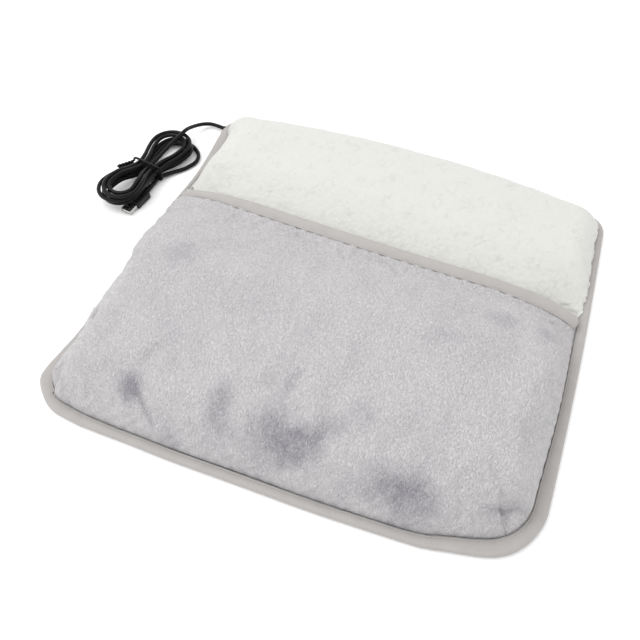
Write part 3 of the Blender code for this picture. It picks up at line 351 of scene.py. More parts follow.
    def sherpa_bottom(self, x: Array, y: Array) -> Array:
        """Height of the sherpa's backing."""
        nearest = np.minimum.reduce(self.insets(x, y, self.seam_inset))
        inner = ease(nearest / (self.floor_run * 0.8))
        thickness = mix(self.sherpa_at_seam, self.sherpa_full, inner)
        return np.maximum(self.base_top(x, y) - thickness, self.backing_least)

    def cover_height(self, x: Array, y: Array) -> Array:
        """Height of the plush's outer face."""
        left, right, toe, _ = self.insets(x, y, self.cover_inset)
        to_mouth = ease(1 - (self.mouth - y) / self.mouth_slope)
        side_run = mix(self.cover_side_run, self.mouth_side_run, to_mouth * to_mouth)
        crown = mix(self.toe_crown, self.mouth_crown, to_mouth) - self.cover_seat
        share = swell(left / side_run, right / side_run, toe / self.cover_front_run)
        return self.cover_seat + crown * share

    def cover_skin(self, x: Array, y: Array) -> Array:
        """Points of the plush's outer face."""
        return self.placed(x, y, self.cover_height(x, y))

    def cover_normal(self, x: Array, y: Array) -> Array:
        """Outward directions of the plush's outer face."""
        probe = 0.5 * MM
        edge = self.half_width - self.cover_inset - probe
        row = np.maximum(self.toe + self.cover_inset + probe, y)
        return normals(self.cover_skin, np.clip(x, -edge, edge), row, probe)

    def pinch(self, x: Array, y: Array) -> Array:
        """How much of its full thickness the cover keeps near its seams."""
        at_rim = ease(self.nearest(x, y, self.cover_inset) / self.rim_pinch_run)
        at_mouth = ease((self.mouth - y) / self.mouth_pinch_run)
        return np.minimum(mix(self.rim_pinch, 1.0, at_rim), mix(self.mouth_pinch, 1.0, at_mouth))

    def cover_point(self, x: Array, y: Array, depth: Array, extra: Array = 0.0) -> Array:
        """Points in the cover: depth shrinks with the pinched seams, extra does not."""
        inward = depth * self.pinch(x, y) + extra
        points = self.cover_skin(x, y) - self.cover_normal(x, y) * np.asarray(inward)[..., None]
        points[..., 2] = np.maximum(points[..., 2], self.base_top(x, y) + self.gap)
        return points

    def rolled(self, share: Array, rim: float, seam: float, run: float, length: float) -> Array:
        """Pattern place across for a share of a sheet's width, both its sides stuffed.

        Args:
            share: share of the width, from the left.
            rim: pattern inset of the sheet's own edges.
            seam: inset at which its sides rise.
            run: level reach of each rounded side.
            length: length over each rounded side.

        Returns:
            Places across in the flat pattern.
        """
        half = length + self.half_width - rim - run
        distance = (0.5 - np.abs(share - 0.5)) * 2 * half + rim
        inset = stuffed_edge(distance, seam, run, length)
        return np.sign(share - 0.5) * (self.half_width - inset)


PAD = PadPattern()


def linear(code: str) -> tuple[float, float, float, float]:
    """An sRGB hex colour as linear red, green, blue and alpha."""
    parts = [int(code[i:i + 2], 16) / 255 for i in (1, 3, 5)]
    return (*[c / 12.92 if c <= 0.04045 else ((c + 0.055) / 1.055) ** 2.4 for c in parts], 1.0)


def add(tree: bpy.types.NodeTree, kind: str, inputs: dict | None = None,
        **settings: object) -> bpy.types.Node:
    """Add a node with its settings, its input values and its links.

    Args:
        tree: node tree to add to.
        kind: Blender's name of the node.
        inputs: value, or node or socket to link from, by input name or number.
        settings: the node's own properties.

    Returns:
        The new node.
    """
    node = tree.nodes.new(kind)
    for key, value in settings.items():
        setattr(node, key, value)
    for key, value in (inputs or {}).items():
        source = value.outputs[0] if isinstance(value, bpy.types.Node) else value
        if isinstance(source, bpy.types.NodeSocket):
            tree.links.new(source, node.inputs[key])
        else:
            node.inputs[key].default_value = source
    return node


@dataclass(frozen=True)
class Finish:
    """A surface: two colours that its pattern mixes, its roughness, shine, sheen and bump."""

    name: str
    colour: str
    roughness: float
    second: str = "#000000"
    shine: float = 0.5
    sheen: float = 0.0
    sheen_roughness: float = 0.5
    metallic: float = 0.0
    bump: float = 0.5
    bump_depth: float = 0.5 * MM

    def material(self) -> bpy.types.Material:
        """Make the material.

        Returns:
            A node material with this finish.
        """
        made = bpy.data.materials.new(self.name)
        made.use_nodes = True
        tree = made.node_tree
        shader = tree.nodes["Principled BSDF"]
        plain = {"Base Color": linear(self.colour), "Roughness": self.roughness,
                 "Specular IOR Level": self.shine, "Sheen Weight": self.sheen,
                 "Sheen Roughness": self.sheen_roughness, "Metallic": self.metallic}
        for key, value in plain.items():
            shader.inputs[key].default_value = value
        pattern = self.pattern(tree)
        if pattern:
            share, height, rough = pattern
            colour = add(tree, "ShaderNodeMix", {0: share, 6: linear(self.colour),
                                                 7: linear(self.second)}, data_type="RGBA")
            bump = add(tree, "ShaderNodeBump", {"Height": height, "Strength": self.bump,
                                                "Distance": self.bump_depth})
            tree.links.new(colour.outputs[2], shader.inputs["Base Color"])
            tree.links.new(bump.outputs["Normal"], shader.inputs["Normal"])
            if rough:
                tree.links.new(rough.outputs[0], shader.inputs["Roughness"])
        return made

    def pattern(self, tree: bpy.types.NodeTree) -> Pattern | None:
        """Add the nodes that make the surface uneven.

        Args:
            tree: the material's nodes.

        Returns:
            Share of the second colour, height of the bump, and roughness if it varies.
        """
        return None


@dataclass(frozen=True)
class FlannelPlush(Finish):
    """Short brushed polyester pile: it glows at grazing light, darkens where pressed and carries
    painted shade at its seams, in its folds and on its front slope.
    """

    # Pressed pile colour, also used as painted shade at the seams, in the folds and on the front
    # slope
    second: str = "#7c7a81"
    shine: float = 0.2
    sheen: float = 0.2
    bump: float = 1.0
    bump_depth: float = 2 * MM
    tuft: float = 1.35 * MM
    clump: float = 30 * MM

    def pattern(self, tree: bpy.types.NodeTree) -> Pattern:
        """Tufts lean towards the toe end in swirls; a vertex attribute gives pressed patches and
        painted shade at the seams, in the folds and on the front slope.
        """
        place = add(tree, "ShaderNodeTexCoord").outputs["Object"]
        combed = add(tree, "ShaderNodeMapping", {"Vector": place, "Rotation": (0, 0, 0.3),
                                                 "Scale": (1.0, 0.5, 0.7)})
        tufts = add(tree, "ShaderNodeTexNoise", {"Vector": combed, "Scale": 1 / self.tuft,
                                                 "Detail": 2.5, "Roughness": 0.65,
                                                 "Distortion": 0.9})
        clumps = add(tree, "ShaderNodeTexNoise", {"Vector": combed, "Scale": 1 / self.clump,
                                                  "Detail": 5.0, "Roughness": 0.62})
        # Pressed pile and painted shade, read from the mesh's attribute
        nap_and_shade = add(tree, "ShaderNodeAttribute", attribute_name="nap_and_shade").outputs["Fac"]
        cloud = add(tree, "ShaderNodeMapRange", {"Value": clumps, "From Min": 0.42,
                                                 "From Max": 0.75, "To Max": 0.14})
        fleck = add(tree, "ShaderNodeMapRange", {"Value": tufts, "From Min": 0.3,
                                                 "From Max": 0.7, "To Max": 0.5})
        both = add(tree, "ShaderNodeMath", {0: cloud, 1: fleck}, operation="ADD")
        share = add(tree, "ShaderNodeMath", {0: both, 1: nap_and_shade}, operation="ADD", use_clamp=True)
        return share, tufts, None


@dataclass(frozen=True)
class SherpaFleece(Finish):
    """Curled polyester fleece: matt, even warm white, with painted shade in the cracks between
    curls.
    """

    # Painted shade colour for the cracks between curls
    second: str = "#a8a7a2"
    shine: float = 0.15
    sheen: float = 0.2
    sheen_roughness: float = 0.6
    bump: float = 0.35
    bump_depth: float = 0.7 * MM
    loop: float = 2.0 * MM

    def pattern(self, tree: bpy.types.NodeTree) -> Pattern:
        """Fine loops on each curl, and painted shade in the cracks from the curl attribute."""
        place = add(tree, "ShaderNodeTexCoord").outputs["Object"]
        loops = add(tree, "ShaderNodeTexNoise", {"Vector": place, "Scale": 1 / self.loop,
                                                 "Detail": 3.0, "Roughness": 0.6,
                                                 "Distortion": 0.6})
        curl = add(tree, "ShaderNodeAttribute", attribute_name="curl").outputs["Fac"]
        # Painted shade: low curl heights, in the cracks, take the darker colour
        share = add(tree, "ShaderNodeMapRange", {"Value": curl, "To Min": 0.5, "To Max": 0.0})
        return share, loops, None


@dataclass(frozen=True)
class TwillTape(Finish):
    """Woven polyester binding tape: fine cross ribs, slightly darker between them."""

    second: str = "#918d8b"
    shine: float = 0.3
    sheen: float = 0.15
    bump: float = 0.25
    bump_depth: float = 0.25 * MM
    rib: float = 1.5 * MM

    def pattern(self, tree: bpy.types.NodeTree) -> Pattern:
        """Ribs run across the tape, counted along its own UV map, which is in metres."""
        place = add(tree, "ShaderNodeTexCoord").outputs["UV"]
        ribs = add(tree, "ShaderNodeTexWave", {"Vector": place, "Scale": math.tau / 20 / self.rib,
                                               "Distortion": 0.6, "Detail": 2.0,
                                               "Detail Scale": 1.5},
                   bands_direction="X").outputs["Fac"]
        cloud = add(tree, "ShaderNodeTexNoise", {"Vector": place, "Scale": 1 / (14 * MM),
                                                 "Detail": 3.0})
        grooves = add(tree, "ShaderNodeMath", {0: ribs, 1: -0.45, 2: 0.5},
                      operation="MULTIPLY_ADD")
        share = add(tree, "ShaderNodeMath", {0: cloud, 1: 0.4, 2: grooves},
                    operation="MULTIPLY_ADD", use_clamp=True)
        return share, ribs, None


@dataclass(frozen=True)
class WovenCloth(Finish):
    """Plain woven cloth: threads over and under each other, the second colour between them."""

    second: str = "#5d5b5c"
    shine: float = 0.2
    bump: float = 0.5
    bump_depth: float = 0.3 * MM
    thread: float = 1.2 * MM

    def pattern(self, tree: bpy.types.NodeTree) -> Pattern:
        """Two crossed thread patterns; the real ones are finer and are drawn coarser to show."""
        place = add(tree, "ShaderNodeTexCoord").outputs["Object"]
        warp, weft = (add(tree, "ShaderNodeTexWave",
                          {"Vector": place, "Scale": math.tau / 20 / self.thread,
                           "Distortion": 0.4}, bands_direction=way).outputs["Fac"]
                      for way in ("X", "Y"))
        weave = add(tree, "ShaderNodeMath", {0: warp, 1: weft}, operation="MULTIPLY")
        cloud = add(tree, "ShaderNodeTexNoise", {"Vector": place, "Scale": 1 / (25 * MM),
                                                 "Detail": 4.0})
        threads = add(tree, "ShaderNodeMath", {0: weave, 1: cloud}, operation="ADD",
                      use_clamp=True)
        share = add(tree, "ShaderNodeMath", {0: 1.0, 1: threads}, operation="SUBTRACT")
        return share, weave, None


@dataclass(frozen=True)
class FibreBatt(Finish):
    """Needled wadding or pressed felt: tangled fibres, soft and matt."""

    second: str = "#c9c9c6"
    sheen: float = 0.15
    bump: float = 0.6
    bump_depth: float = 0.8 * MM
    fibre: float = 2 * MM

    def pattern(self, tree: bpy.types.NodeTree) -> Pattern:
        """Tangled streaks in colour and bump."""
        place = add(tree, "ShaderNodeTexCoord").outputs["Object"]
        tangle = add(tree, "ShaderNodeTexNoise", {"Vector": place, "Scale": 1 / self.fibre,
                                                  "Detail": 5.0, "Roughness": 0.7,
                                                  "Distortion": 1.5})
        return tangle, tangle, None


@dataclass(frozen=True)
class Moulded(Finish):
    """Extruded or moulded PVC, silicone or plastic: even colour, a fine skin and faint scuffs."""

    second: str = "#1c1c1e"
    bump: float = 0.3
    bump_depth: float = 0.06 * MM
    grain: float = 0.9 * MM

    def pattern(self, tree: bpy.types.NodeTree) -> Pattern:
        """Faint scuffs lighten the colour and roughen it; a fine skin breaks up the gloss."""
        place = add(tree, "ShaderNodeTexCoord").outputs["Object"]
        scuffs = add(tree, "ShaderNodeTexNoise", {"Vector": place, "Scale": 1 / (9 * MM),
                                                  "Detail": 4.0, "Roughness": 0.6})
        skin = add(tree, "ShaderNodeTexNoise", {"Vector": place, "Scale": 1 / self.grain,
                                                "Detail": 2.0})
        rough = add(tree, "ShaderNodeMapRange", {"Value": scuffs, "From Min": 0.3,
                                                 "From Max": 0.7, "To Min": self.roughness - 0.05,
                                                 "To Max": self.roughness + 0.1})
        return scuffs, skin, rough


@dataclass(frozen=True)
class Plated(Finish):
    """Stamped and plated metal: bright, with fine rolling lines and small wear."""

    second: str = "#a9a9a8"
    metallic: float = 1.0
    bump: float = 0.15
    bump_depth: float = 0.05 * MM

    def pattern(self, tree: bpy.types.NodeTree) -> Pattern:
        """Rolling lines in bump, and wear in colour and roughness."""
        place = add(tree, "ShaderNodeTexCoord").outputs["Object"]
        lined = add(tree, "ShaderNodeMapping", {"Vector": place, "Scale": (1.0, 0.08, 1.0)})
        lines, wear = (add(tree, "ShaderNodeTexNoise", {"Vector": where, "Scale": 1 / size,
                                                        "Detail": detail})
                       for where, size, detail in ((lined.outputs[0], 0.4 * MM, 2.0),
                                                   (place, 3 * MM, 4.0)))
        rough = add(tree, "ShaderNodeMapRange", {"Value": wear, "From Min": 0.3,
                                                 "From Max": 0.75, "To Min": self.roughness,
                                                 "To Max": self.roughness + 0.15})
        return wear, lines, rough


@dataclass(frozen=True)
class StudioPaper(Finish):
    """Pale matt paper under the object, even all over."""

    shine: float = 0.1


class Look(Enum):
    """Every finish of the foot warmer and the floor under it."""

    PLUSH = FlannelPlush("flannel_plush", "#c4c2c2", 0.92)
    SHERPA = SherpaFleece("sherpa_fleece", "#c2c2be", 0.95)
    TAPE = TwillTape("twill_binding_tape", "#adaaa8", 0.85)
    THREAD = FibreBatt("polyester_sewing_thread", "#aca7a3", 0.7, "#8f8a86", fibre=0.5 * MM)
    UNDERSIDE = WovenCloth("woven_underside_cloth", "#8b8889", 0.9)
    WADDING = FibreBatt("needled_polyester_wadding", "#eeeeec", 0.95)
    FELT = FibreBatt("pressed_felt", "#e0dfd9", 0.95, "#c4c3bb", fibre=1.2 * MM)
    JACKET = Moulded("semi_gloss_pvc_jacket", "#060607", 0.3, "#0e0e10", 0.16)
    PLUG = Moulded("moulded_pvc_plug", "#0b0b0c", 0.45, "#18181a", 0.3, bump_depth=0.1 * MM,
                   grain=0.6 * MM)
    SHRINK = Moulded("heat_shrink_sleeve", "#131313", 0.5)
    SILICONE = Moulded("white_silicone_sleeve", "#dcdbd7", 0.45, "#cfcdc8")
    RED = Moulded("red_silicone_sleeve", "#a3221f", 0.45, "#8f1b19")
    TONGUE = Moulded("white_nylon_tongue", "#d6d6d6", 0.45, "#c2c2c2")
    STEEL = Plated("cutout_case_steel", "#c6c6c4", 0.3)
    NICKEL = Plated("nickel_plated_shell", "#d2d1cd", 0.2)
    GOLD = Plated("gold_plated_contact", "#e2b45c", 0.2, "#c99a45")
    FLOOR = StudioPaper("studio_paper", "#f4f4f4", 0.9)

    @property
    def material(self) -> bpy.types.Material:
        """This finish's material, made once."""
        return bpy.data.materials.get(self.value.name) or self.value.material()


def linked(name: str, data: bpy.types.ID) -> bpy.types.Object:
    """A new object in the scene."""
    made = bpy.data.objects.new(name, data)
    bpy.context.scene.collection.objects.link(made)
    return made


def as_mesh(bm: bmesh.types.BMesh, name: str) -> bpy.types.Mesh:
    """Turn a bmesh into a new mesh."""
    mesh = bpy.data.meshes.new(name)
    bm.to_mesh(mesh)
    bm.free()
    return mesh


def finished(name: str, mesh: bpy.types.Mesh, look: Look) -> bpy.types.Object:
    """Turn a mesh into an object with outward faces and its finish.

    Args:
        name: piece name.
        mesh: mesh in its place.
        look: finish.

    Returns:
        The new object at the origin.
    """
    bm = bmesh.new()
    bm.from_mesh(mesh)
    bmesh.ops.recalc_face_normals(bm, faces=bm.faces)
    if bm.calc_volume(signed=True) < 0:
        bmesh.ops.reverse_faces(bm, faces=bm.faces)
    bm.to_mesh(mesh)
    bm.free()
    mesh.name = name
    mesh.materials.clear()
    mesh.materials.append(look.material)
    mesh.shade_smooth()
    return linked(name, mesh)


def get_points(mesh: bpy.types.Mesh) -> Array:
    """All vertex places of a mesh."""
    flat = np.zeros(len(mesh.vertices) * 3)
    mesh.vertices.foreach_get("co", flat)
    return flat.reshape(-1, 3)


def set_points(mesh: bpy.types.Mesh, points: Array) -> None:
    """Move all vertices of a mesh."""
    mesh.vertices.foreach_set("co", points.astype(np.float32).ravel())
    mesh.update()


def set_share(mesh: bpy.types.Mesh, name: str, values: Array) -> None:
    """Store one number for each vertex, for the material to read."""
    mesh.attributes.new(name, "FLOAT", "POINT").data.foreach_set("value", values.astype(np.float32))


def unit_sheet(columns: int, rows: int, cuts: int = 1, fine_from: float = 0.0,
               fine_side: int = 1) -> bpy.types.Mesh:
    """A closed sheet over the unit square, one face of it cut finer.

    Args:
        columns: coarse faces across.
        rows: coarse faces along.
        cuts: parts that each coarse edge of the finer region is cut into.
        fine_from: row share past which the sheet is fine.
        fine_side: 1 for the upper face, 0 for the lower.

    Returns:
        A mesh whose points are (across 0..1, along 0..1, side 0 or 1).
    """
    bm = bmesh.new()
    bmesh.ops.create_grid(bm, x_segments=columns, y_segments=rows, size=0.5)
    raised = bmesh.ops.extrude_face_region(bm, geom=bm.faces[:], use_keep_orig=True)["geom"]
    bmesh.ops.translate(bm, vec=(0, 0, 1),
                        verts=[item for item in raised if isinstance(item, bmesh.types.BMVert)])
    bmesh.ops.translate(bm, vec=(0.5, 0.5, 0), verts=bm.verts)
    if cuts > 1:
        fine = [face for face in bm.faces
                if all(abs(v.co.z - fine_side) < 0.5 for v in face.verts)
                and face.calc_center_median().y > fine_from]
        edges = list({edge for face in fine for edge in face.edges})
        bmesh.ops.subdivide_edges(bm, edges=edges, cuts=cuts - 1, use_grid_fill=True)
        bmesh.ops.triangulate(bm, faces=[face for face in bm.faces if len(face.verts) > 4])
    bm.verts.index_update()
    count = len(bm.verts)

    def rank(item: bmesh.types.BMEdge | bmesh.types.BMFace) -> int:
        low, middle, *others = sorted(vert.index for vert in item.verts)
        return (low * count + middle) * count + (others[0] if others else 0)

    # The operators leave edges and faces in an order that differs from run to run
    bm.edges.sort(key=rank)
    bm.faces.sort(key=rank)
    return as_mesh(bm, "sheet")


def swept(name: str, stations: int, section: int, closed: bool,
          place: Callable[[Array, Array], Array], look: Look,
          spread: Callable[[Array, Array], tuple[Array, Array]] | None = None) -> bpy.types.Object:
    """A tape or rod: a grid rolled round its section, with its seam welded and its ends filled.

    Args:
        name: piece name.
        stations: faces along it.
        section: faces round it.
        closed: whether it closes on itself.
        place: places of (along index, round index) arrays.
        look: finish.
        spread: UV map in metres of (along share, round share) arrays.

    Returns:
        The new object.
    """
    bm = bmesh.new()
    bmesh.ops.create_grid(bm, x_segments=stations, y_segments=section, size=0.5, calc_uvs=True)
    mesh = as_mesh(bm, name)
    shares = get_points(mesh)[:, :2] + 0.5
    if spread:
        layer = mesh.uv_layers.active or mesh.uv_layers.new(name="tape")
        corner = np.zeros(len(mesh.loops), int)
        mesh.loops.foreach_get("vertex_index", corner)
        u, v = spread(shares[corner, 0], shares[corner, 1])
        layer.data.foreach_set("uv", np.stack([u, v], axis=-1).astype(np.float32).ravel())
    along = np.rint(shares[:, 0] * stations).astype(int)
    around = np.rint(shares[:, 1] * section).astype(int) % section
    set_points(mesh, place(along % stations if closed else along, around))
    bm = bmesh.new()
    bm.from_mesh(mesh)
    bmesh.ops.remove_doubles(bm, verts=bm.verts, dist=0.001 * MM)
    if not closed:
        bmesh.ops.holes_fill(bm, edges=bm.edges, sides=0)
    bm.to_mesh(mesh)
    bm.free()
    return finished(name, mesh, look)


def even_points(fine: list[Vector], spacing: float) -> list[Vector]:
    """Resample a fine line at an even spacing, keeping both ends."""
    lengths = [0.0]
    for first, second in zip(fine, fine[1:]):
        lengths.append(lengths[-1] + (second - first).length)
    count = max(2, round(lengths[-1] / spacing))
    even, index = [], 0
    for step in range(count + 1):
        target = lengths[-1] * step / count
        while index < len(fine) - 2 and lengths[index + 1] < target:
            index += 1
        span = lengths[index + 1] - lengths[index]
        even.append(fine[index].lerp(fine[index + 1], (target - lengths[index]) / span))
    return even


def stitches(name: str, line: Array, pitch: float = 3.4 * MM, length: float = 2.5 * MM,
             thick: float = 0.5 * MM) -> bpy.types.Object:
    """A row of lockstitches along a seam.

    Args:
        name: piece name.
        line: points along the seam.
        pitch: distance from stitch to stitch.
        length: length of a stitch.
        thick: thickness of the thread.

    Returns:
        The stitches as one object.
    """
    row = even_points([Vector(point) for point in line], pitch)
    size = Matrix.Diagonal((length / 2, thick / 2, thick / 2, 1.0))
    bm = bmesh.new()
    for first, second in zip(row, row[1:]):
        turn = (second - first).to_track_quat("X", "Z").to_matrix().to_4x4()
        bmesh.ops.create_uvsphere(bm, u_segments=6, v_segments=4, radius=1.0,
                                  matrix=Matrix.Translation((first + second) / 2) @ turn @ size)
    return finished(name, as_mesh(bm, name), Look.THREAD)


def sample(field_points: Array, u: Array, v: Array) -> Array:
    """Smooth values between the knots of a grid (Catmull-Rom both ways).

    Args:
        field_points: values at the knots, (across, along, 3).
        u: places across, 0..1.
        v: places along, 0..1.

    Returns:
        One vector for each place.
    """
    across, along = field_points.shape[0] - 1, field_points.shape[1] - 1
    i = np.clip((u * across).astype(int), 0, across - 1)
    j = np.clip((v * along).astype(int), 0, along - 1)

    def weights(t: Array) -> list[Array]:
        return [(-t + 2 * t * t - t**3) / 2, (2 - 5 * t * t + 3 * t**3) / 2,
                (t + 4 * t * t - 3 * t**3) / 2, (t**3 - t * t) / 2]

    total = np.zeros((len(u), 3))
    for a, weight_a in enumerate(weights(u * across - i)):
        for b, weight_b in enumerate(weights(v * along - j)):
            knot = field_points[np.clip(i + a - 1, 0, across), np.clip(j + b - 1, 0, along)]
            total += knot * (weight_a * weight_b)[:, None]
    return total


@dataclass
class SherpaBase:
    """The cushion under the feet: sherpa over wadding, open and humped past the pocket's mouth."""

    coarse: float = 5 * MM
    cuts: int = 4
    width: float = 480 * MM
    length: float = 430 * MM
    tuck: float = 3 * MM
    side_length: float = 41 * MM
    end_length: float = 43 * MM
    curl_size: float = 4.8 * MM
    curl_depth: float = 0.75 * MM
    crack_cell: float = 9.5 * MM
    crack_width: float = 1.5 * MM
    crack_depth: float = 0.4 * MM
    proud: float = 1.1 * MM
    overhang: float = 3.2 * MM
    fine_before_mouth: float = 16 * MM
    left_reach: float = 34 * MM
    left_sink: float = 5.2 * MM
    left_roughness: float = 1.1 * MM
    over_tape: float = 7.9 * MM
    over_tape_reach: float = 3 * MM

    def column(self, share: Array) -> Array:
        """Pattern place across for a share of the sheet's width."""
        return PAD.rolled(share, self.tuck, PAD.seam_inset, PAD.rear_side_run, self.side_length)

    def row(self, share: Array) -> Array:
        """Pattern place along for a share of the sheet's length."""
        p = PAD
        length = p.depth - 2 * self.tuck + self.end_length - p.rear_end_run
        distance = (1 - share) * length + self.tuck
        return p.rear - stuffed_edge(distance, p.seam_inset, p.rear_end_run, self.end_length)

    def build(self) -> bpy.types.Object:
        """Build the sherpa sheet with its curls.

        Returns:
            The padded piece that stands for the CAD sherpa.
        """
        p = PAD
        shares = np.linspace(0, 1, 400)
        fine_from = np.interp(p.mouth - self.fine_before_mouth, self.row(shares), shares)
        mesh = unit_sheet(round(self.width / self.coarse), round(self.length / self.coarse),
                          self.cuts, fine_from)
        spot = get_points(mesh)
        x, y = self.column(spot[:, 0]), self.row(spot[:, 1])
        top = spot[:, 2] > 0.5
        points = p.placed(x, y, np.where(top, p.base_top(x, y), p.sherpa_bottom(x, y)))
        move, crack = self.relief(x[top], y[top], points[top])
        points[top] += move
        set_points(mesh, points)
        # Curl heights for the painted shade in the cracks; the backing gets none
        curl = np.ones(len(points))
        curl[top] = 1 - crack
        set_share(mesh, "curl", curl)
        made = finished("sherpa_cushion", mesh, Look.SHERPA)
        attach(made, BASE)
        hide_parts("base_sherpa")
        return made

    def relief(self, x: Array, y: Array, points: Array) -> tuple[Array, Array]:
        """Curls, cracks and lumps on the smooth cushion.

        Args:
            x: pattern places across.
            y: pattern places along.
            points: smooth places.

        Returns:
            Offset of each point, and how deep it lies in a crack, 0 to 1.
        """
        p = PAD
        normal = normals(lambda a, b: p.placed(a, b, p.base_top(a, b)), x, y, 0.4 * MM)
        left, _, _, rear = p.insets(x, y, p.seam_inset)
        nearest = np.minimum(p.nearest(x, y, p.seam_inset), rear)
        past = y - p.mouth
        exposed = ease((past - 4 * MM) / (14 * MM))
        seam = ease((nearest + 0.4 * MM) / (0.4 * MM))
        near_mouth = ease(1 - past / (60 * MM))
        lumps = waves(points, 26 * MM, 3.0) * 0.4 * MM + waves(points, 70 * MM, 5.0) * 0.9 * MM
        faint = clamp(0.2 + 0.3 * near_mouth + 0.8 * waves(points, 15 * MM, 31.0))
        crack = veins(points, self.crack_cell, self.crack_width) * faint
        rise = (curls(points, self.curl_size) - 1) * self.curl_depth * mix(0.65, 1.1, near_mouth)
        rise -= crack * self.crack_depth
        rise += exposed * (self.proud + lumps + 0.25 * MM * waves(points, 8 * MM, 8.0))
        from_left = (ease(1 - left / self.left_reach) * exposed
                     * ease((rear - 14 * MM) / (24 * MM)))
        rise -= from_left * (self.left_sink - self.left_roughness * waves(points, 5.5 * MM, 13.0))
        low_side = exposed * seam * ease(1 - (points[:, 2] - p.seam_top) / (20 * MM))
        low_side = low_side * (1 - from_left) * ease((past - 3 * MM) / (9 * MM))
        scallop = (0.5 + 0.35 * waves(points * (1, 1, 0.2), 11 * MM, 11.0)
                   + 0.65 * waves(points * (1, 1, 0.3), 5 * MM, 13.0))
        move = normal * (rise * seam)[:, None]
        move += unit(normal * (1, 1, 0)) * (low_side * self.overhang * scallop)[:, None]
        on_tape = (low_side > 0.05) & (nearest < self.over_tape_reach) & (nearest > 0)
        lift = np.maximum(0, self.over_tape - (points[:, 2] + move[:, 2]))
        move[:, 2] += np.where(on_tape, lift, 0)
        return move, crack


@dataclass
class PerimeterTape:
    """Binding tape folded round the whole rim and stitched near its inner edge."""

    width: float = 9 * MM
    height: float = 7 * MM
    wall: float = 1.2 * MM
    spacing: float = 1.6 * MM
    pucker: float = 0.28 * MM
    seam: float = 7.4 * MM
    lip: float = 0.7 * MM
    lip_middle: float = -35 * MM
    lip_reach: float = 95 * MM
    inner_corners: int = 13

    def rim(self) -> tuple[Array, Array]:
        """Stations round the rim: which side each is on, and its share of that side."""
        p = PAD
        sides, shares = [], []
        for side, length in enumerate((2 * p.half_width, p.depth, 2 * p.half_width, p.depth)):
            count = round(length / self.spacing)
            sides += [side] * count
            shares += list(np.arange(count) / count)
        return np.array(sides), np.array(shares)

    def section(self) -> Array:
        """Outline of the folded tape as (inset, height) pairs, outer face first."""
        w, h, t = self.width, self.height, self.wall
        turn = np.linspace(-np.pi / 2, np.pi / 2, 9)
        outer_x = 2.6 * MM * (1 - np.cos(turn))
        outer_z = h / 2 + (h / 2 + 0.1 * MM) * np.sin(turn)
        inner_x = outer_x * (1 - t / h) + t
        inner_z = h / 2 + (h / 2 - t) * np.sin(turn)
        flange = np.array([w, w - 0.25 * MM, w - 0.7 * MM, w - 1.1 * MM, self.seam, 6.6 * MM,
                           4.6 * MM])
        crown = h + np.array([-0.8, -0.1, 0.1, -0.05, -0.25, 0.12, 0.25]) * MM
        outer = [(w, 0.0), (6 * MM, 0.0), *zip(outer_x, np.maximum(outer_z, 0)),
                 *zip(flange[::-1], crown[::-1])]
        inner = [(w, h - t), (6 * MM, h - t), *zip(inner_x[::-1], inner_z[::-1]), (6 * MM, t),
                 (w, t)]
        return np.array(outer + inner)

    def spots(self, side: Array, share: Array, inset: Array, height: Array,
              outer: Array) -> Array:
        """Places on the tape.

        Args:
            side: side of the rim: toe, right, rear or left.
            share: share of that side.
            inset: distance in from the rim.
            height: height over the floor.
            outer: whether the outer face is meant, which puckers and lifts.

        Returns:
            One place for each entry.
        """
        p = PAD
        left, right = inset - p.half_width, p.half_width - inset
        toe, rear = p.toe + inset, p.rear - inset
        x = np.choose(side, [mix(left, right, share), right, mix(right, left, share), left])
        y = np.choose(side, [toe, mix(toe, rear, share), rear, mix(rear, toe, share)])
        spots = p.placed(x, y, height)
        flat = spots * (1, 1, 0.4)
        raised = clamp((height - 0.5 * MM) / (2 * MM))
        ripple = waves(flat, 7 * MM, 2.0) + 0.6 * waves(flat, 26 * MM, 4.0)
        at_front = (side == 0) * humps(spots[:, 0], (self.lip, self.lip_middle, self.lip_reach))
        lip = at_front * ((inset > self.seam + 0.5 * MM) & (height > 4 * MM))
        spots[:, 2] += outer * (raised * ripple * self.pucker + lip)
        return spots

    def build(self) -> list[bpy.types.Object]:
        """Sweep the folded tape round the rim and stitch it.

        Returns:
            The tape, which stands for the CAD binding, and its stitches.
        """
        sides, shares = self.rim()
        section = self.section()
        outer_count = len(section) - self.inner_corners
        count = len(sides)
        length = 2 * (2 * PAD.half_width + PAD.depth)
        steps = np.diff(np.vstack([section, section[:1]]), axis=0)
        across = np.concatenate([[0], np.cumsum(np.linalg.norm(steps, axis=1))])
        corners = np.linspace(0, 1, len(across))

        def place(along: Array, around: Array) -> Array:
            return self.spots(sides[along], shares[along], section[around, 0], section[around, 1],
                              around < outer_count)

        made = swept("perimeter_tape", count, len(section), True, place, Look.TAPE,
                     lambda u, v: (u * length, np.interp(v, corners, across)))
        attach(made, BASE)
        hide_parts("perimeter_binding")
        line = self.spots(sides, shares, np.full(count, self.seam),
                          np.full(count, self.height - 0.1 * MM), np.ones(count))
        thread = stitches("perimeter_stitches", np.vstack([line, line[:1]]))
        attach(thread, BASE)
        return [made, thread]


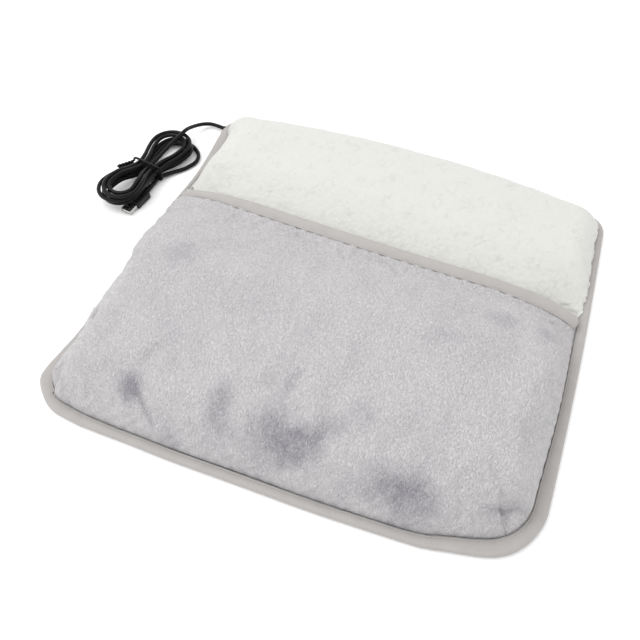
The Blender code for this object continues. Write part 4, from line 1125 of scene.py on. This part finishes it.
@dataclass
class Underside:
    """Woven cloth under the pad, tucked into the tape all round."""

    coarse: float = 6 * MM
    cuts: int = 3
    tuck: float = 3 * MM
    thickness: float = 2.5 * MM
    drawn_up: float = 1.5 * MM
    rim_reach: float = 2.2 * MM
    roughness: float = 0.7 * MM
    rough_reach: float = 26 * MM

    def build(self) -> bpy.types.Object:
        """Build the cloth, flat where it rests and drawn up at the tape.

        Returns:
            The cloth, which stands for the CAD underside.
        """
        p = PAD
        columns, rows = round(2 * p.half_width / self.coarse), round(p.depth / self.coarse)
        mesh = unit_sheet(columns, rows, self.cuts, 0.0, 0)
        spot = get_points(mesh)
        x = (spot[:, 0] * 2 - 1) * (p.half_width - self.tuck)
        y = mix(p.toe + self.tuck, p.rear - self.tuck, spot[:, 1])
        nearest = np.minimum.reduce(p.insets(x, y, p.seam_inset))
        rim = ease(1 - nearest / self.rim_reach)
        points = p.placed(x, y, np.zeros(len(x)))
        rough = (0.5 + 0.5 * waves(points, 11 * MM, 6.0)) * ease(1 - nearest / self.rough_reach)
        low = rim * self.drawn_up + clamp(rough) * self.roughness * (1 - rim)
        points[:, 2] = np.where(spot[:, 2] > 0.5, self.thickness, low)
        set_points(mesh, points)
        made = finished("underside_cloth", mesh, Look.UNDERSIDE)
        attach(made, BASE)
        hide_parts("underside_cover")
        return made


@dataclass(frozen=True)
class Patch:
    """A place on the plush where the pile lies pressed: middle, half sizes and turn."""

    x: float
    y: float
    wide: float
    long: float
    turn: float
    strength: float


@dataclass
class PocketCover:
    """The pocket over the feet: plush, wadding and sherpa lining, sewn down on three sides."""

    coarse: float = 6 * MM
    side_length: float = 60 * MM
    front_length: float = 87 * MM
    plush: float = 3 * MM
    wadding: float = 7 * MM
    lining: float = 4 * MM
    slack: float = 0.03
    pressure: float = 4.0
    frames: int = 20
    starts_in: float = 2.5 * MM
    move_cap: float = 5.5 * MM
    sink_cap: float = 3.5 * MM
    side_bulge: float = 7.5 * MM
    fold_lines: tuple[tuple[tuple[float, float], tuple[float, float]], ...] = (
        ((-126.4 * MM, -190.8 * MM), (-101.8 * MM, -209.9 * MM)),
        ((172 * MM, -190 * MM), (207.6 * MM, -171.3 * MM)),
    )
    fold_width: float = 2.2 * MM
    fold_depth: float = 2.4 * MM
    tuft: float = 0.3 * MM
    curl_size: float = 4.6 * MM
    curl_depth: float = 1.3 * MM
    patches: tuple[Patch, ...] = (
        Patch(-0.132, -0.189, 0.009, 0.010, 0.2, 0.5),
        Patch(-0.0515, -0.183, 0.010, 0.017, 0.2, 0.36),
        Patch(-0.002, -0.187, 0.018, 0.018, 0.4, 0.36),
        Patch(0.021, -0.191, 0.016, 0.012, 0.3, 0.42),
        Patch(0.037, -0.172, 0.015, 0.009, 0.5, 0.28),
        Patch(-0.002, -0.148, 0.005, 0.016, -0.1, 0.24),
        Patch(0.064, -0.151, 0.010, 0.010, 0.0, 0.12),
        Patch(0.118, -0.200, 0.022, 0.013, 0.2, 0.36),
        Patch(0.096, -0.192, 0.026, 0.011, 0.2, 0.22),
        Patch(-0.153, -0.047, 0.014, 0.014, 0.0, 0.22),
        Patch(-0.120, -0.020, 0.022, 0.010, 0.3, 0.1),
        Patch(0.147, -0.0135, 0.012, 0.011, 0.3, 0.22),
        Patch(0.188, -0.014, 0.009, 0.009, 0.0, 0.22),
        Patch(0.102, -0.0565, 0.014, 0.009, 0.3, 0.1),
        Patch(-0.196, -0.136, 0.003, 0.006, 0.0, 0.4),
        Patch(-0.085, -0.213, 0.008, 0.008, 0.0, 0.2),
    )
    delta: Array = field(default_factory=lambda: np.zeros((2, 2, 3)))

    @property
    def inner_face(self) -> float:
        """Depth of the lining's inner face."""
        return self.plush + self.wadding + self.lining

    @property
    def length(self) -> float:
        """Length over the stuffed surface, from the toe seam to the mouth."""
        p = PAD
        return self.front_length + p.mouth_from_toe - p.cover_inset - p.cover_front_run

    def column(self, share: Array) -> Array:
        """Pattern place across for a share of the cover's width."""
        p = PAD
        return p.rolled(share, p.cover_inset, p.cover_inset, p.cover_side_run, self.side_length)

    def row(self, share: Array) -> Array:
        """Pattern place along for a share of the cover's length."""
        p = PAD
        return p.toe + stuffed_edge(share * self.length + p.cover_inset, p.cover_inset,
                                    p.cover_front_run, self.front_length)

    def counts(self) -> tuple[int, int]:
        """Coarse faces across and along."""
        p = PAD
        across = 2 * (self.side_length + p.half_width - p.cover_inset - p.cover_side_run)
        return round(across / self.coarse), round(self.length / self.coarse)

    def simulate(self) -> None:
        """Blow the padded cover up as cloth and keep how far its outer face moves."""
        columns, rows = self.counts()
        self.delta = np.zeros((columns + 1, rows + 1, 3))
        p = PAD
        mesh = unit_sheet(columns, rows)
        spot = get_points(mesh)
        x, y = self.column(spot[:, 0]), self.row(spot[:, 1])
        outer = spot[:, 2] > 0.5
        free = (ease(p.nearest(x, y, p.cover_inset) / (9 * MM))
                * ease((p.mouth - 10 * MM - y) / (16 * MM)))
        rest, normal = p.cover_point(x, y, 0.0), p.cover_normal(x, y)
        start = np.where(outer[:, None], rest - normal * (free * self.starts_in)[:, None],
                         p.cover_point(x, y, self.inner_face))
        set_points(mesh, start)
        body = linked("cover_form", mesh)
        pinned = body.vertex_groups.new(name="sewn")
        for index, weight in enumerate(np.where(outer, 1 - free, 1.0)):
            if weight > 0.02:
                pinned.add([index], float(weight), "REPLACE")
        cloth = body.modifiers.new("cloth", "CLOTH")
        cloth.settings.vertex_group_mass = "sewn"
        cloth.settings.use_pressure = True
        cloth.settings.uniform_pressure_force = self.pressure
        cloth.settings.shrink_min = -self.slack
        cloth.settings.quality = 6
        cloth.settings.tension_stiffness = 12
        cloth.settings.compression_stiffness = 12
        cloth.settings.bending_stiffness = 1.2
        cloth.settings.effector_weights.gravity = 0.0
        cloth.point_cache.frame_start = 1
        cloth.point_cache.frame_end = self.frames
        scene = bpy.context.scene
        for number in range(1, self.frames + 1):
            scene.frame_set(number)
        evaluated = body.evaluated_get(bpy.context.evaluated_depsgraph_get())
        move = get_points(evaluated.data) - start
        scene.frame_set(1)
        far = np.linalg.norm(move, axis=1, keepdims=True)
        move = move * np.minimum(1.0, self.move_cap / np.maximum(far, 1e-9))
        settled = (start + move - rest)[outer]
        outward = (settled * normal[outer]).sum(axis=1)
        settled += normal[outer] * (np.maximum(outward, -self.sink_cap) - outward)[:, None]
        i = np.rint(spot[outer, 0] * columns).astype(int)
        j = np.rint(spot[outer, 1] * rows).astype(int)
        self.delta[i, j] = settled
        bpy.data.objects.remove(body, do_unlink=True)

    def sheet(self, name: str, outer_depth: float, inner_depth: float, order: int, cuts: int,
              fine_from: float, fine_side: int) -> tuple[bpy.types.Mesh, Array, Array, Array]:
        """A layer of the cover between two depths.

        Args:
            name: piece name.
            outer_depth: depth of its outer face.
            inner_depth: depth of its inner face.
            order: gaps above it.
            cuts: fineness of its seen face.
            fine_from: row share past which that face is fine.
            fine_side: 1 where the outer face is seen, 0 for the inner.

        Returns:
            The mesh, its pattern places across and along, and which points are outer.
        """
        p = PAD
        mesh = unit_sheet(*self.counts(), cuts, fine_from, fine_side)
        mesh.name = name
        spot = get_points(mesh)
        x, y = self.column(spot[:, 0]), self.row(spot[:, 1])
        outer = spot[:, 2] > 0.5
        depth = np.where(outer, outer_depth, inner_depth)
        points = p.cover_point(x, y, depth, order * p.gap)
        if order < 2:
            moved = sample(self.delta, spot[:, 0], spot[:, 1])
            moved += p.cover_normal(x, y) * self.creases(x, y)[:, None]
            sink = (MM * p.pinch(x, y) + 1.5 * MM * self.folds(p.cover_skin(x, y), 3.0)) * order
            moved -= p.cover_normal(x, y) * sink[:, None]
            points += moved if order == 0 else moved * outer[:, None]
        set_points(mesh, points)
        return mesh, x, y, outer

    def folds(self, points: Array, widen: float = 1.0) -> Array:
        """Depth share 0..1 of the sharp folds near the toe end's corners."""
        total = np.zeros(len(points))
        for start, end in self.fold_lines:
            a, b = np.array(start), np.array(end)
            t = clamp(((points[:, :2] - a) @ (b - a)) / ((b - a) @ (b - a)))
            away = np.linalg.norm(points[:, :2] - a - t[:, None] * (b - a), axis=1)
            deep = np.sin(np.pi * np.clip(t, 0.06, 0.94)) ** 0.5
            total += np.exp(-((away / self.fold_width / widen) ** 2)) * deep
        return total

    def nap_and_shade(self, points: Array, x: Array, y: Array) -> Array:
        """How dark the pile is drawn, 0 to 1: pressed in soft patches, and painted shade in the
        folds, along the seams and on the front slope.
        """
        p = PAD
        edge = waves(points, 11 * MM, 1.0, 3)
        # Painted shade: a dark band low on the cover, near its seams
        rise = points[:, 2] - p.cover_seat
        total = 0.55 * np.exp(-((rise / (3.2 * MM)) ** 2))
        total *= p.nearest(x, y, p.cover_inset) < 9 * MM
        # Painted shade in the folds
        total += 0.4 * self.folds(points)
        # Painted shade, streaked, on the slope down to the toe seam
        toe = p.insets(x, y, p.cover_inset)[2]
        slope = ease(1 - (toe - 4 * MM) / (50 * MM)) * ease(1 - np.abs(points[:, 0]) / (190 * MM))
        total += 0.16 * slope * clamp(0.4 + 0.9 * waves(points * (1, 1.6, 1), 22 * MM, 21.0, 3))
        # Pressed patches: the pile's own darker tone
        for patch in self.patches:
            off_x, off_y = points[:, 0] - patch.x, points[:, 1] - patch.y
            cosine, sine = math.cos(patch.turn), math.sin(patch.turn)
            u = (off_x * cosine + off_y * sine) / patch.wide
            v = (off_y * cosine - off_x * sine) / patch.long
            total += patch.strength * ease(1.2 - 0.7 * np.sqrt(u * u + v * v) + 0.22 * edge)
        return clamp(total)

    def creases(self, x: Array, y: Array) -> Array:
        """Outward offsets of the cover from its gathers, soft waves and folds."""
        p = PAD
        points = p.cover_skin(x, y)
        nearest = p.nearest(x, y, p.cover_inset)
        free = ease(nearest / (5 * MM)) * ease((p.mouth - 10 * MM - y) / (14 * MM))
        near_seam = ease(1 - nearest / (26 * MM))
        gathers = waves(points * (1, 1, 0.3), 15 * MM, 9.0) * near_seam * 0.9 * MM
        soft = waves(points, 45 * MM, 12.0) * 1.1 * MM
        return (gathers + soft - self.folds(points) * self.fold_depth) * free

    def plush_mesh(self) -> bpy.types.Mesh:
        """The plush with its pile, bulging over the rim's tape beside the mouth's left end.

        Returns:
            The mesh, with its attribute of pressed pile and painted shade.
        """
        p = PAD
        mesh, x, y, outer = self.sheet("pocket_plush", 0.0, self.plush, 0, 4, 0.0, 1)
        points = get_points(mesh)
        skin, across, along = points[outer], x[outer], y[outer]
        to_mouth = p.mouth - along
        free = ease(p.nearest(across, along, p.cover_inset) / (5 * MM))
        free = free * mix(0.15, 1.0, ease((to_mouth - 15 * MM) / (12 * MM)))
        tufts = waves(skin, 3.2 * MM, 14.0) * self.tuft * free
        skin += p.cover_normal(across, along) * tufts[:, None]
        left = p.insets(across, along, p.cover_inset)[0]
        beside = (ease((to_mouth + 3 * MM) / (20 * MM)) * ease((along + 70 * MM) / (60 * MM))
                  * ease(1 - left / (26 * MM)) * ease((skin[:, 2] - 7.2 * MM) / (4 * MM)))
        skin[:, 0] -= beside * self.side_bulge
        points[outer] = skin
        set_points(mesh, points)
        # Pressed pile and painted shade at the seams, in the folds and on the front slope
        set_share(mesh, "nap_and_shade", self.nap_and_shade(points, x, y))
        return mesh

    def lining_mesh(self) -> bpy.types.Mesh:
        """The lining with its curls, finer towards the mouth.

        Returns:
            The mesh, with its curl attribute, from which the material paints shade between the
            curls.
        """
        mesh, x, y, outer = self.sheet("pocket_lining", self.plush + self.wadding,
                                       self.inner_face, 2, 4, 0.62, 0)
        points = get_points(mesh)
        height = np.ones(len(points))
        height[~outer] = curls(points[~outer], self.curl_size)
        depth = (1 - height) * self.curl_depth * PAD.pinch(x, y)
        points += PAD.cover_normal(x, y) * (depth * ~outer)[:, None]
        set_points(mesh, points)
        # Curl heights for the painted shade between the curls
        set_share(mesh, "curl", height)
        return mesh

    def build(self) -> list[bpy.types.Object]:
        """Build the three layers.

        Returns:
            Plush, wadding and lining, in that order.
        """
        self.simulate()
        plush = finished("pocket_plush", self.plush_mesh(), Look.PLUSH)
        batt = finished("pocket_wadding", self.sheet("pocket_wadding", self.plush,
                                                     self.plush + self.wadding, 1, 1, 0.0, 1)[0],
                        Look.WADDING)
        lining = finished("pocket_lining", self.lining_mesh(), Look.SHERPA)
        for piece, node, slot in ((plush, "cover_plush", "plush"),
                                  (batt, "cover_wadding", "wadding"),
                                  (lining, "cover_lining", "sherpa")):
            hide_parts(node)
            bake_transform(piece)
        return [plush, batt, lining]


@dataclass
class MouthTape:
    """The same tape, folded over the pocket's mouth edge."""

    width: float = 12 * MM
    wall: float = 1.2 * MM
    spacing: float = 1.6 * MM
    full: float = 14 * MM
    seam: float = 10.4 * MM
    ends_in: float = 2 * MM
    pucker: float = 0.25 * MM
    wider: float = 0.2
    narrower: float = 0.35
    widen_from: float = 120 * MM
    widen_run: float = 80 * MM

    @property
    def upper(self) -> float:
        """Depth of the tape's upper face: above the plush, so negative."""
        return -PAD.gap - self.wall

    def spread(self, x: Array) -> Array:
        """How much wider the tape lies at the mouth's right end, and narrower at its left."""
        return 1 + ramps(x, (self.wider, self.widen_from, self.widen_run),
                         (-self.narrower, -self.widen_from, -self.widen_run))

    def section(self) -> Array:
        """Corners of the folded tape, the outer face first.

        Returns:
            Distance past the edge, share of the pinched thickness, depth, and 1 if seen, for each.
        """
        g, t, w = PAD.gap, self.wall, self.width
        lower = 3 * g + t
        top = (-w, -w + 0.6 * MM, -self.seam, -w * 0.72, -w * 0.5, -w * 0.25, 0.0)
        crown = (-1.1 * MM, -0.5 * MM, -0.4 * MM, 0.9 * MM, 1.7 * MM, 1.8 * MM, 1.0 * MM)
        upper = [(a, 0.0, self.upper - c, 1) for a, c in zip(top, crown)]
        edge = [((g + t + 0.4 * MM) * math.sin(math.pi * k), k, mix(self.upper, lower, k), 1)
                for k in np.linspace(0.15, 0.85, 6)]
        under = [(past, 1.0, lower, 0) for past in (0.0, -w * 0.5, -w)]
        inner = [(past, 1.0, 3 * g, 0) for past in (-w, -w * 0.5, g)]
        inner += [(past, 0.0, -g, 0) for past in (g, -w * 0.5, -w)]
        return np.array(upper + edge + under + inner)

    def build(self) -> list[bpy.types.Object]:
        """Fold the tape over the edge and stitch it.

        Returns:
            The tape, which stands for the CAD mouth binding, and its stitches.
        """
        p = PAD
        reach = p.half_width - p.cover_inset - self.ends_in
        count = round(2 * reach / self.spacing)
        stations = np.linspace(-reach, reach, count + 1)
        section = self.section()

        def place(along: Array, around: Array) -> Array:
            past, share, extra, seen = section[around].T
            x = stations[along]
            row = p.mouth + np.minimum(past, 0) * self.spread(x)
            points = p.cover_point(x, row, share * self.full, extra)
            skin = p.cover_skin(x, np.full_like(x, p.mouth))
            before = p.cover_skin(x, np.full_like(x, p.mouth - 0.5 * MM))
            points += unit(skin - before) * np.maximum(past, 0)[:, None]
            ripple = waves(points, 8 * MM, 6.0) + 0.6 * waves(points, 24 * MM, 7.0)
            points[:, 2] += seen * ripple * self.pucker
            return points

        made = swept("mouth_tape", count, len(section), False, place, Look.TAPE,
                     lambda u, v: (u * 2 * reach, v * 45 * MM))
        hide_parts("mouth_binding")
        seam_row = p.mouth - self.seam * self.spread(stations)
        thread = stitches("mouth_stitches",
                          p.cover_point(stations, seam_row, 0.0, self.upper + 0.3 * MM))
        for piece in (made, thread):
            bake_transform(piece)
        return [made, thread]


def smooth_route(points: list[Vector], spacing: float) -> list[Vector]:
    """Even points along a Catmull-Rom curve through a route's own points."""
    knots = [Vector(point) for point in points]
    ends = [2 * knots[0] - knots[1], *knots, 2 * knots[-1] - knots[-2]]
    fine = []
    for a, b, c, d in zip(ends, ends[1:], ends[2:], ends[3:]):
        for step in range(24):
            t = step / 24
            fine.append(0.5 * (2 * b + (c - a) * t + (2 * a - 5 * b + 4 * c - d) * t * t
                               + (3 * b - a - 3 * c + d) * t**3))
    fine.append(knots[-1])
    return even_points(fine, spacing)


def tube(name: str, points: list[Vector], diameter: float, look: Look,
         fineness: int = 4) -> bpy.types.Object:
    """A round cord along points: one open curve.

    Args:
        name: piece name.
        points: its centreline.
        diameter: its thickness.
        look: finish.
        fineness: roundness of its section.

    Returns:
        The curve object.
    """
    data = bpy.data.curves.new(name, "CURVE")
    data.dimensions = "3D"
    data.bevel_depth = diameter / 2
    data.bevel_resolution = fineness
    data.use_fill_caps = True
    spline = data.splines.new("POLY")
    spline.points.add(len(points) - 1)
    for knot, point in zip(spline.points, points):
        knot.co = (*point, 1.0)
    spline.use_smooth = True
    data.materials.append(look.material)
    return linked(name, data)


@dataclass
class CordSet:
    """The lead: from the rear left corner over the hank, through its loops and out to the plug."""

    diameter: float = 4.5 * MM
    clearance: float = 0.25 * MM
    centre: tuple[float, float] = (-272.5 * MM, 89 * MM)
    tilt: float = math.radians(11)
    half_run: float = 44 * MM
    waist_lane: float = 2.85 * MM
    step: float = 5.7 * MM
    cap_growth: float = 9.6 * MM
    half_turns: int = 12
    layers: int = 3
    layer_step: float = 5.5 * MM
    run_steps: int = 3
    cap_steps: int = 6
    side_loop: float = 9 * MM
    layer_turns: tuple[float, ...] = (0.0, math.radians(-4), math.radians(4))
    climb_turn: float = 0.5
    waist_lift: float = 1.9 * MM
    plug_lift: float = 6.9 * MM
    lift_length: float = 30 * MM
    tie_diameter: float = 2.6 * MM
    tie_gap: float = 0.3 * MM
    tie_corner: float = 4.5 * MM
    tie_tail: float = 19 * MM
    tie_twist: float = 8 * MM
    tie_twist_radius: float = 1.45 * MM
    tie_turn: float = math.radians(72)
    tie_rise: float = math.radians(10)
    plug_thickness: float = 8 * MM
    exit_turn: float = math.radians(10)
    exit_height: float = 4.5 * MM
    joint_gap: float = 0.3 * MM
    route: tuple[tuple[float, float, float], ...] = (
        (-243.2 * MM, 193.4 * MM, 4.3 * MM),
        (-250.6 * MM, 188.6 * MM, 6.2 * MM),
        (-255.2 * MM, 179.5 * MM, 9.8 * MM),
    )
    entry: tuple[tuple[float, float, float], ...] = (
        (-77.5 * MM, -0.2 * MM, 15.6 * MM),
        (-68 * MM, 1.2 * MM, 18.6 * MM),
        (-58 * MM, 1.8 * MM, 19.0 * MM),
        (-46 * MM, 1.4 * MM, 18.0 * MM),
        (-30 * MM, 1.4 * MM, 16.4 * MM),
        (-14 * MM, 2.3 * MM, 15.5 * MM),
    )
    plug_lead: tuple[float, float, float] = (6 * MM, 15.0 * MM, 4.35 * MM)
    relief_start: tuple[float, float] = (16 * MM, 16.0 * MM)
    plug_turn: float = math.radians(3)

    def hank_point(self, along: float, across: float, height: float) -> Vector:
        """From the hank's own directions to the world."""
        cosine, sine = math.cos(self.tilt), math.sin(self.tilt)
        return Vector((self.centre[0] - along * sine + across * cosine,
                       self.centre[1] - along * cosine - across * sine, height))

    def lift(self, along: float) -> float:
        """How far the strands are raised over the tie and the plug."""
        return float(self.waist_lift * ease(np.array(1 + along / self.lift_length))
                     + self.plug_lift * ease(np.array(along / self.lift_length)))

    @property
    def per_layer(self) -> int:
        """Half turns in each layer of the hank."""
        return self.half_turns // self.layers

    def loops(self) -> list[Vector]:
        """Axis of the looped cord, from its top layer's free end to its plug end."""
        steps = 2 * self.run_steps + self.cap_steps
        points = []
        for index in range(self.half_turns * steps + 1):
            turn = index / steps
            pair = turn / (2 * self.per_layer)
            lane = self.waist_lane + self.step * self.per_layer * abs(pair - round(pair))
            climbs = (turn - self.per_layer * np.arange(1, self.layers)) / self.climb_turn
            drops = float(ease(climbs + 0.5).sum())
            points.append(self.loop_point(index // steps, index % steps, lane,
                                          self.layers - 1 - drops))
        return points

    def loop_point(self, half_turn: int, step: int, lane: float, layer: float) -> Vector:
        """One point of a half turn round one of the hank's ends."""
        towards_toe = 1 if half_turn % 2 == 0 else -1
        cap = lane + self.cap_growth
        cap_step = step - self.run_steps
        angle = math.pi * max(0, min(self.cap_steps, cap_step)) / self.cap_steps
        if 0 <= cap_step <= self.cap_steps:
            along = self.half_run + cap * math.sin(angle)
            across = cap * math.cos(angle)
        else:
            whole = 2 * self.run_steps + self.cap_steps
            run_share = min(step, whole - step) / self.run_steps
            along = self.half_run * run_share
            drawn_in = self.cap_growth * math.cos(math.pi / 2 * run_share) ** 2
            across = math.copysign(cap - drawn_in, math.cos(angle))
        along *= towards_toe
        across *= towards_toe
        if half_turn == self.half_turns - 1:
            past_cap = step / (self.run_steps + self.cap_steps / 2) - 1
            across += self.side_loop * math.sin(math.pi * max(0, past_cap))
        height = (self.diameter / 2 + self.clearance + self.lift(along) + self.layer_step * layer)
        turn = float(np.interp(layer, range(self.layers), self.layer_turns))
        cosine, sine = math.cos(turn), math.sin(turn)
        return self.hank_point(along * cosine - across * sine, across * cosine + along * sine,
                               height)

    def relief_place(self) -> tuple[Vector, Vector]:
        """Where the plug's strain relief starts, and the way that the plug points."""
        along, across = self.relief_start
        start = self.hank_point(along, across, self.plug_thickness / 2 + self.clearance)
        ahead = self.hank_point(along + math.cos(self.plug_turn),
                                across + math.sin(self.plug_turn), start.z)
        return start, (ahead - start).normalized()

    def exit(self) -> tuple[Vector, Vector]:
        """Where the cord leaves the corner's anchor, and its outward direction."""
        p = PAD
        outward = Vector((-math.cos(self.exit_turn), math.sin(self.exit_turn), 0))
        reach = p.rear_radius / max(abs(outward.x), abs(outward.y))
        x, y = p.sewn(np.array(p.rear_radius - p.half_width + outward.x * reach),
                      np.array(p.rear - p.rear_radius + outward.y * reach))
        return Vector((float(x), float(y), self.exit_height)) + outward * (0.5 * MM), outward

    def centreline(self) -> list[Vector]:
        """The whole cord's axis, from the corner to the plug."""
        relief, heading = self.relief_place()
        end_run = [self.hank_point(*self.plug_lead),
                   relief - heading * (self.joint_gap + self.diameter),
                   relief - heading * self.joint_gap]
        outer, outward = self.exit()
        start = outer + outward * self.joint_gap
        entry = [self.hank_point(*place) for place in self.entry]
        route = [start, start + outward * self.diameter, *map(Vector, self.route), *entry,
                 *self.loops(), *end_run]
        return smooth_route(route, 2.4 * MM)

    def tie_tails(self, half_width: float, middle: float) -> list[list[Vector]]:
        """Axes of the tie's two tails, twisted together.

        Args:
            half_width: half the width of the tie's ring.
            middle: height of the ring's middle.

        Returns:
            Both axes, from the ring outwards.
        """
        origin = self.hank_point(0.0, -half_width - self.tie_diameter, middle)
        along, across = math.sin(self.tie_turn), -math.cos(self.tie_turn)
        level = (self.hank_point(along, across, 0.0)
                 - self.hank_point(0.0, 0.0, 0.0)).normalized()
        axis = level * math.cos(self.tie_rise) + Vector((0, 0, math.sin(self.tie_rise)))
        aside = level.cross(Vector((0, 0, 1)))
        upright = aside.cross(axis)
        tails = []
        for phase in (0.0, math.pi):
            tail = []
            for k in range(57):
                gone = self.tie_tail * k / 56
                angle = phase + math.tau * gone / self.tie_twist
                arm = upright * math.cos(angle) + aside * math.sin(angle)
                tail.append(origin + axis * gone + arm * self.tie_twist_radius)
            tails.append(tail)
        return tails

    def tie(self) -> bpy.types.Object:
        """The wire tie: once round the waist, its two tails twisted together."""
        gap, thick = self.tie_gap, self.tie_diameter
        reach = self.waist_lane + self.step / 2 * self.per_layer + self.diameter / 2
        half_width = reach + 4 * gap + thick / 2
        low = thick / 2 + gap
        high = (self.diameter + self.clearance + self.lift(0) + self.layer_step * (self.layers - 1)
                + 2 * gap + thick / 2)
        corner = min(self.tie_corner, (high - low) / 2)
        middle = (low + high) / 2
        ring = []
        for quarter, (side, up) in enumerate(((-1, 1), (1, 1), (1, -1), (-1, -1))):
            for k in range(7):
                angle = math.pi - math.pi / 2 * (quarter + k / 6)
                ring.append(self.hank_point(
                    0.0, side * (half_width - corner) + corner * math.cos(angle),
                    middle + up * (high - middle - corner) + corner * math.sin(angle)))
        first, last = self.tie_tails(half_width, middle)
        made = tube("twist_tie", [*first[::-1], *ring, *last], thick, Look.JACKET, 3)
        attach(made, BASE)
        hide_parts("cord_twist_tie")
        return made

    def build(self) -> bpy.types.Object:
        """Lay the cord and its tie.

        Returns:
            The cord.
        """
        made = tube("lead_cord", self.centreline(), self.diameter, Look.JACKET)
        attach(made, BASE)
        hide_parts("cord_free_stretch", "cord_hank")
        on_it = [self.tie(), *[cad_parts[name] for name in (
            "plug_strain_relief", "plug_body", "plug_shell", "plug_tongue", "plug_contact_1",
            "plug_contact_2", "plug_contact_3", "plug_contact_4")]]
        tuple(self.exit()[0])
        return made


@dataclass
class HardParts:
    """The CAD pieces that stay: anchor, plug, heater and the layers inside the pad."""

    looks: dict[str, Look] = field(default_factory=lambda: {
        "cord_anchor": Look.JACKET, "plug_strain_relief": Look.JACKET, "plug_body": Look.PLUG,
        "plug_shell": Look.NICKEL, "plug_tongue": Look.TONGUE, "plug_contact_1": Look.GOLD,
        "plug_contact_2": Look.GOLD, "plug_contact_3": Look.GOLD, "plug_contact_4": Look.GOLD,
        "thermal_cutout": Look.STEEL, "solder_sleeve_supply": Look.SHRINK,
        "solder_sleeve_return": Look.SHRINK, "heating_wire": Look.SILICONE,
        "supply_lead": Look.RED, "return_lead": Look.SILICONE,
        "base_wadding_lower": Look.WADDING, "base_wadding_upper": Look.WADDING,
        "heater_carrier": Look.FELT})

    def dress(self) -> int:
        """Give every CAD piece that stays its finish.

        Returns:
            How many were dressed.
        """
        for name, look in self.looks.items():
            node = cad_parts[name]
            node.data.materials.clear()
            node.data.materials.append(look.material)
        return len(self.looks)


@dataclass
class Studio:
    """Camera, floor and light."""

    place: tuple[float, float, float] = (0.13757561, -0.45229389, 0.57643013)
    right: tuple[float, float, float] = (0.93605965, 0.35183873, 0.00135568)
    up: tuple[float, float, float] = (-0.27960147, 0.74152393, 0.60988957)
    lens: float = 42.09
    sensor: float = 36.0
    sky: float = 1.2
    key: float = 18.0
    key_size: float = 1.6
    key_place: tuple[float, float, float] = (-0.9, -0.3, 1.7)
    floor_reach: float = 6.0
    floor_drop: float = 0.4 * MM

    def camera(self) -> None:
        """Stand the camera where the photograph was taken."""
        data = bpy.data.cameras.new("camera")
        data.lens = self.lens
        data.sensor_width = self.sensor
        data.clip_start = 0.01
        made = linked("camera", data)
        right, up = Vector(self.right), Vector(self.up)
        turn = Matrix((right, up, right.cross(up))).transposed().to_4x4()
        made.matrix_world = Matrix.Translation(self.place) @ turn
        bpy.context.scene.camera = made

    def floor(self) -> None:
        """Lay a wide pale floor."""
        bm = bmesh.new()
        bmesh.ops.create_grid(bm, x_segments=1, y_segments=1, size=self.floor_reach)
        bmesh.ops.translate(bm, verts=bm.verts, vec=(0, 0, -self.floor_drop))
        mesh = as_mesh(bm, "floor")
        mesh.materials.append(Look.FLOOR.material)
        linked("floor", mesh)

    def light(self) -> None:
        """A bright room and one large soft light high over the front left."""
        world = bpy.data.worlds.new("room")
        world.use_nodes = True
        room = world.node_tree.nodes["Background"].inputs
        room["Color"].default_value = linear("#ffffff")
        room["Strength"].default_value = self.sky
        bpy.context.scene.world = world
        data = bpy.data.lights.new("key", "AREA")
        data.shape = "RECTANGLE"
        data.size = data.size_y = self.key_size
        data.energy = self.key
        made = linked("key", data)
        made.location = self.key_place
        made.rotation_mode = "QUATERNION"
        made.rotation_quaternion = (-made.location).to_track_quat("-Z", "Y")


def main() -> None:
    """Build every class in order and report each piece."""
    logging.basicConfig(level=logging.INFO, format="%(message)s")
    noise.seed_set(NOISE_SEED)
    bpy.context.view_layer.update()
    studio = Studio()
    studio.camera()
    pieces = [CordSet().build(), SherpaBase().build(), *PerimeterTape().build(),
              Underside().build(), *PocketCover().build(), *MouthTape().build()]
    LOG.info("hard parts dressed: %d", HardParts().dress())
    for piece in pieces:
        count = len(piece.data.polygons) if piece.type == "MESH" else 0
        LOG.info("%s: %d faces", piece.name, count)
    studio.floor()
    studio.light()
    bpy.context.scene.view_settings.view_transform = "Standard"


if __name__ == "__main__":
    main()
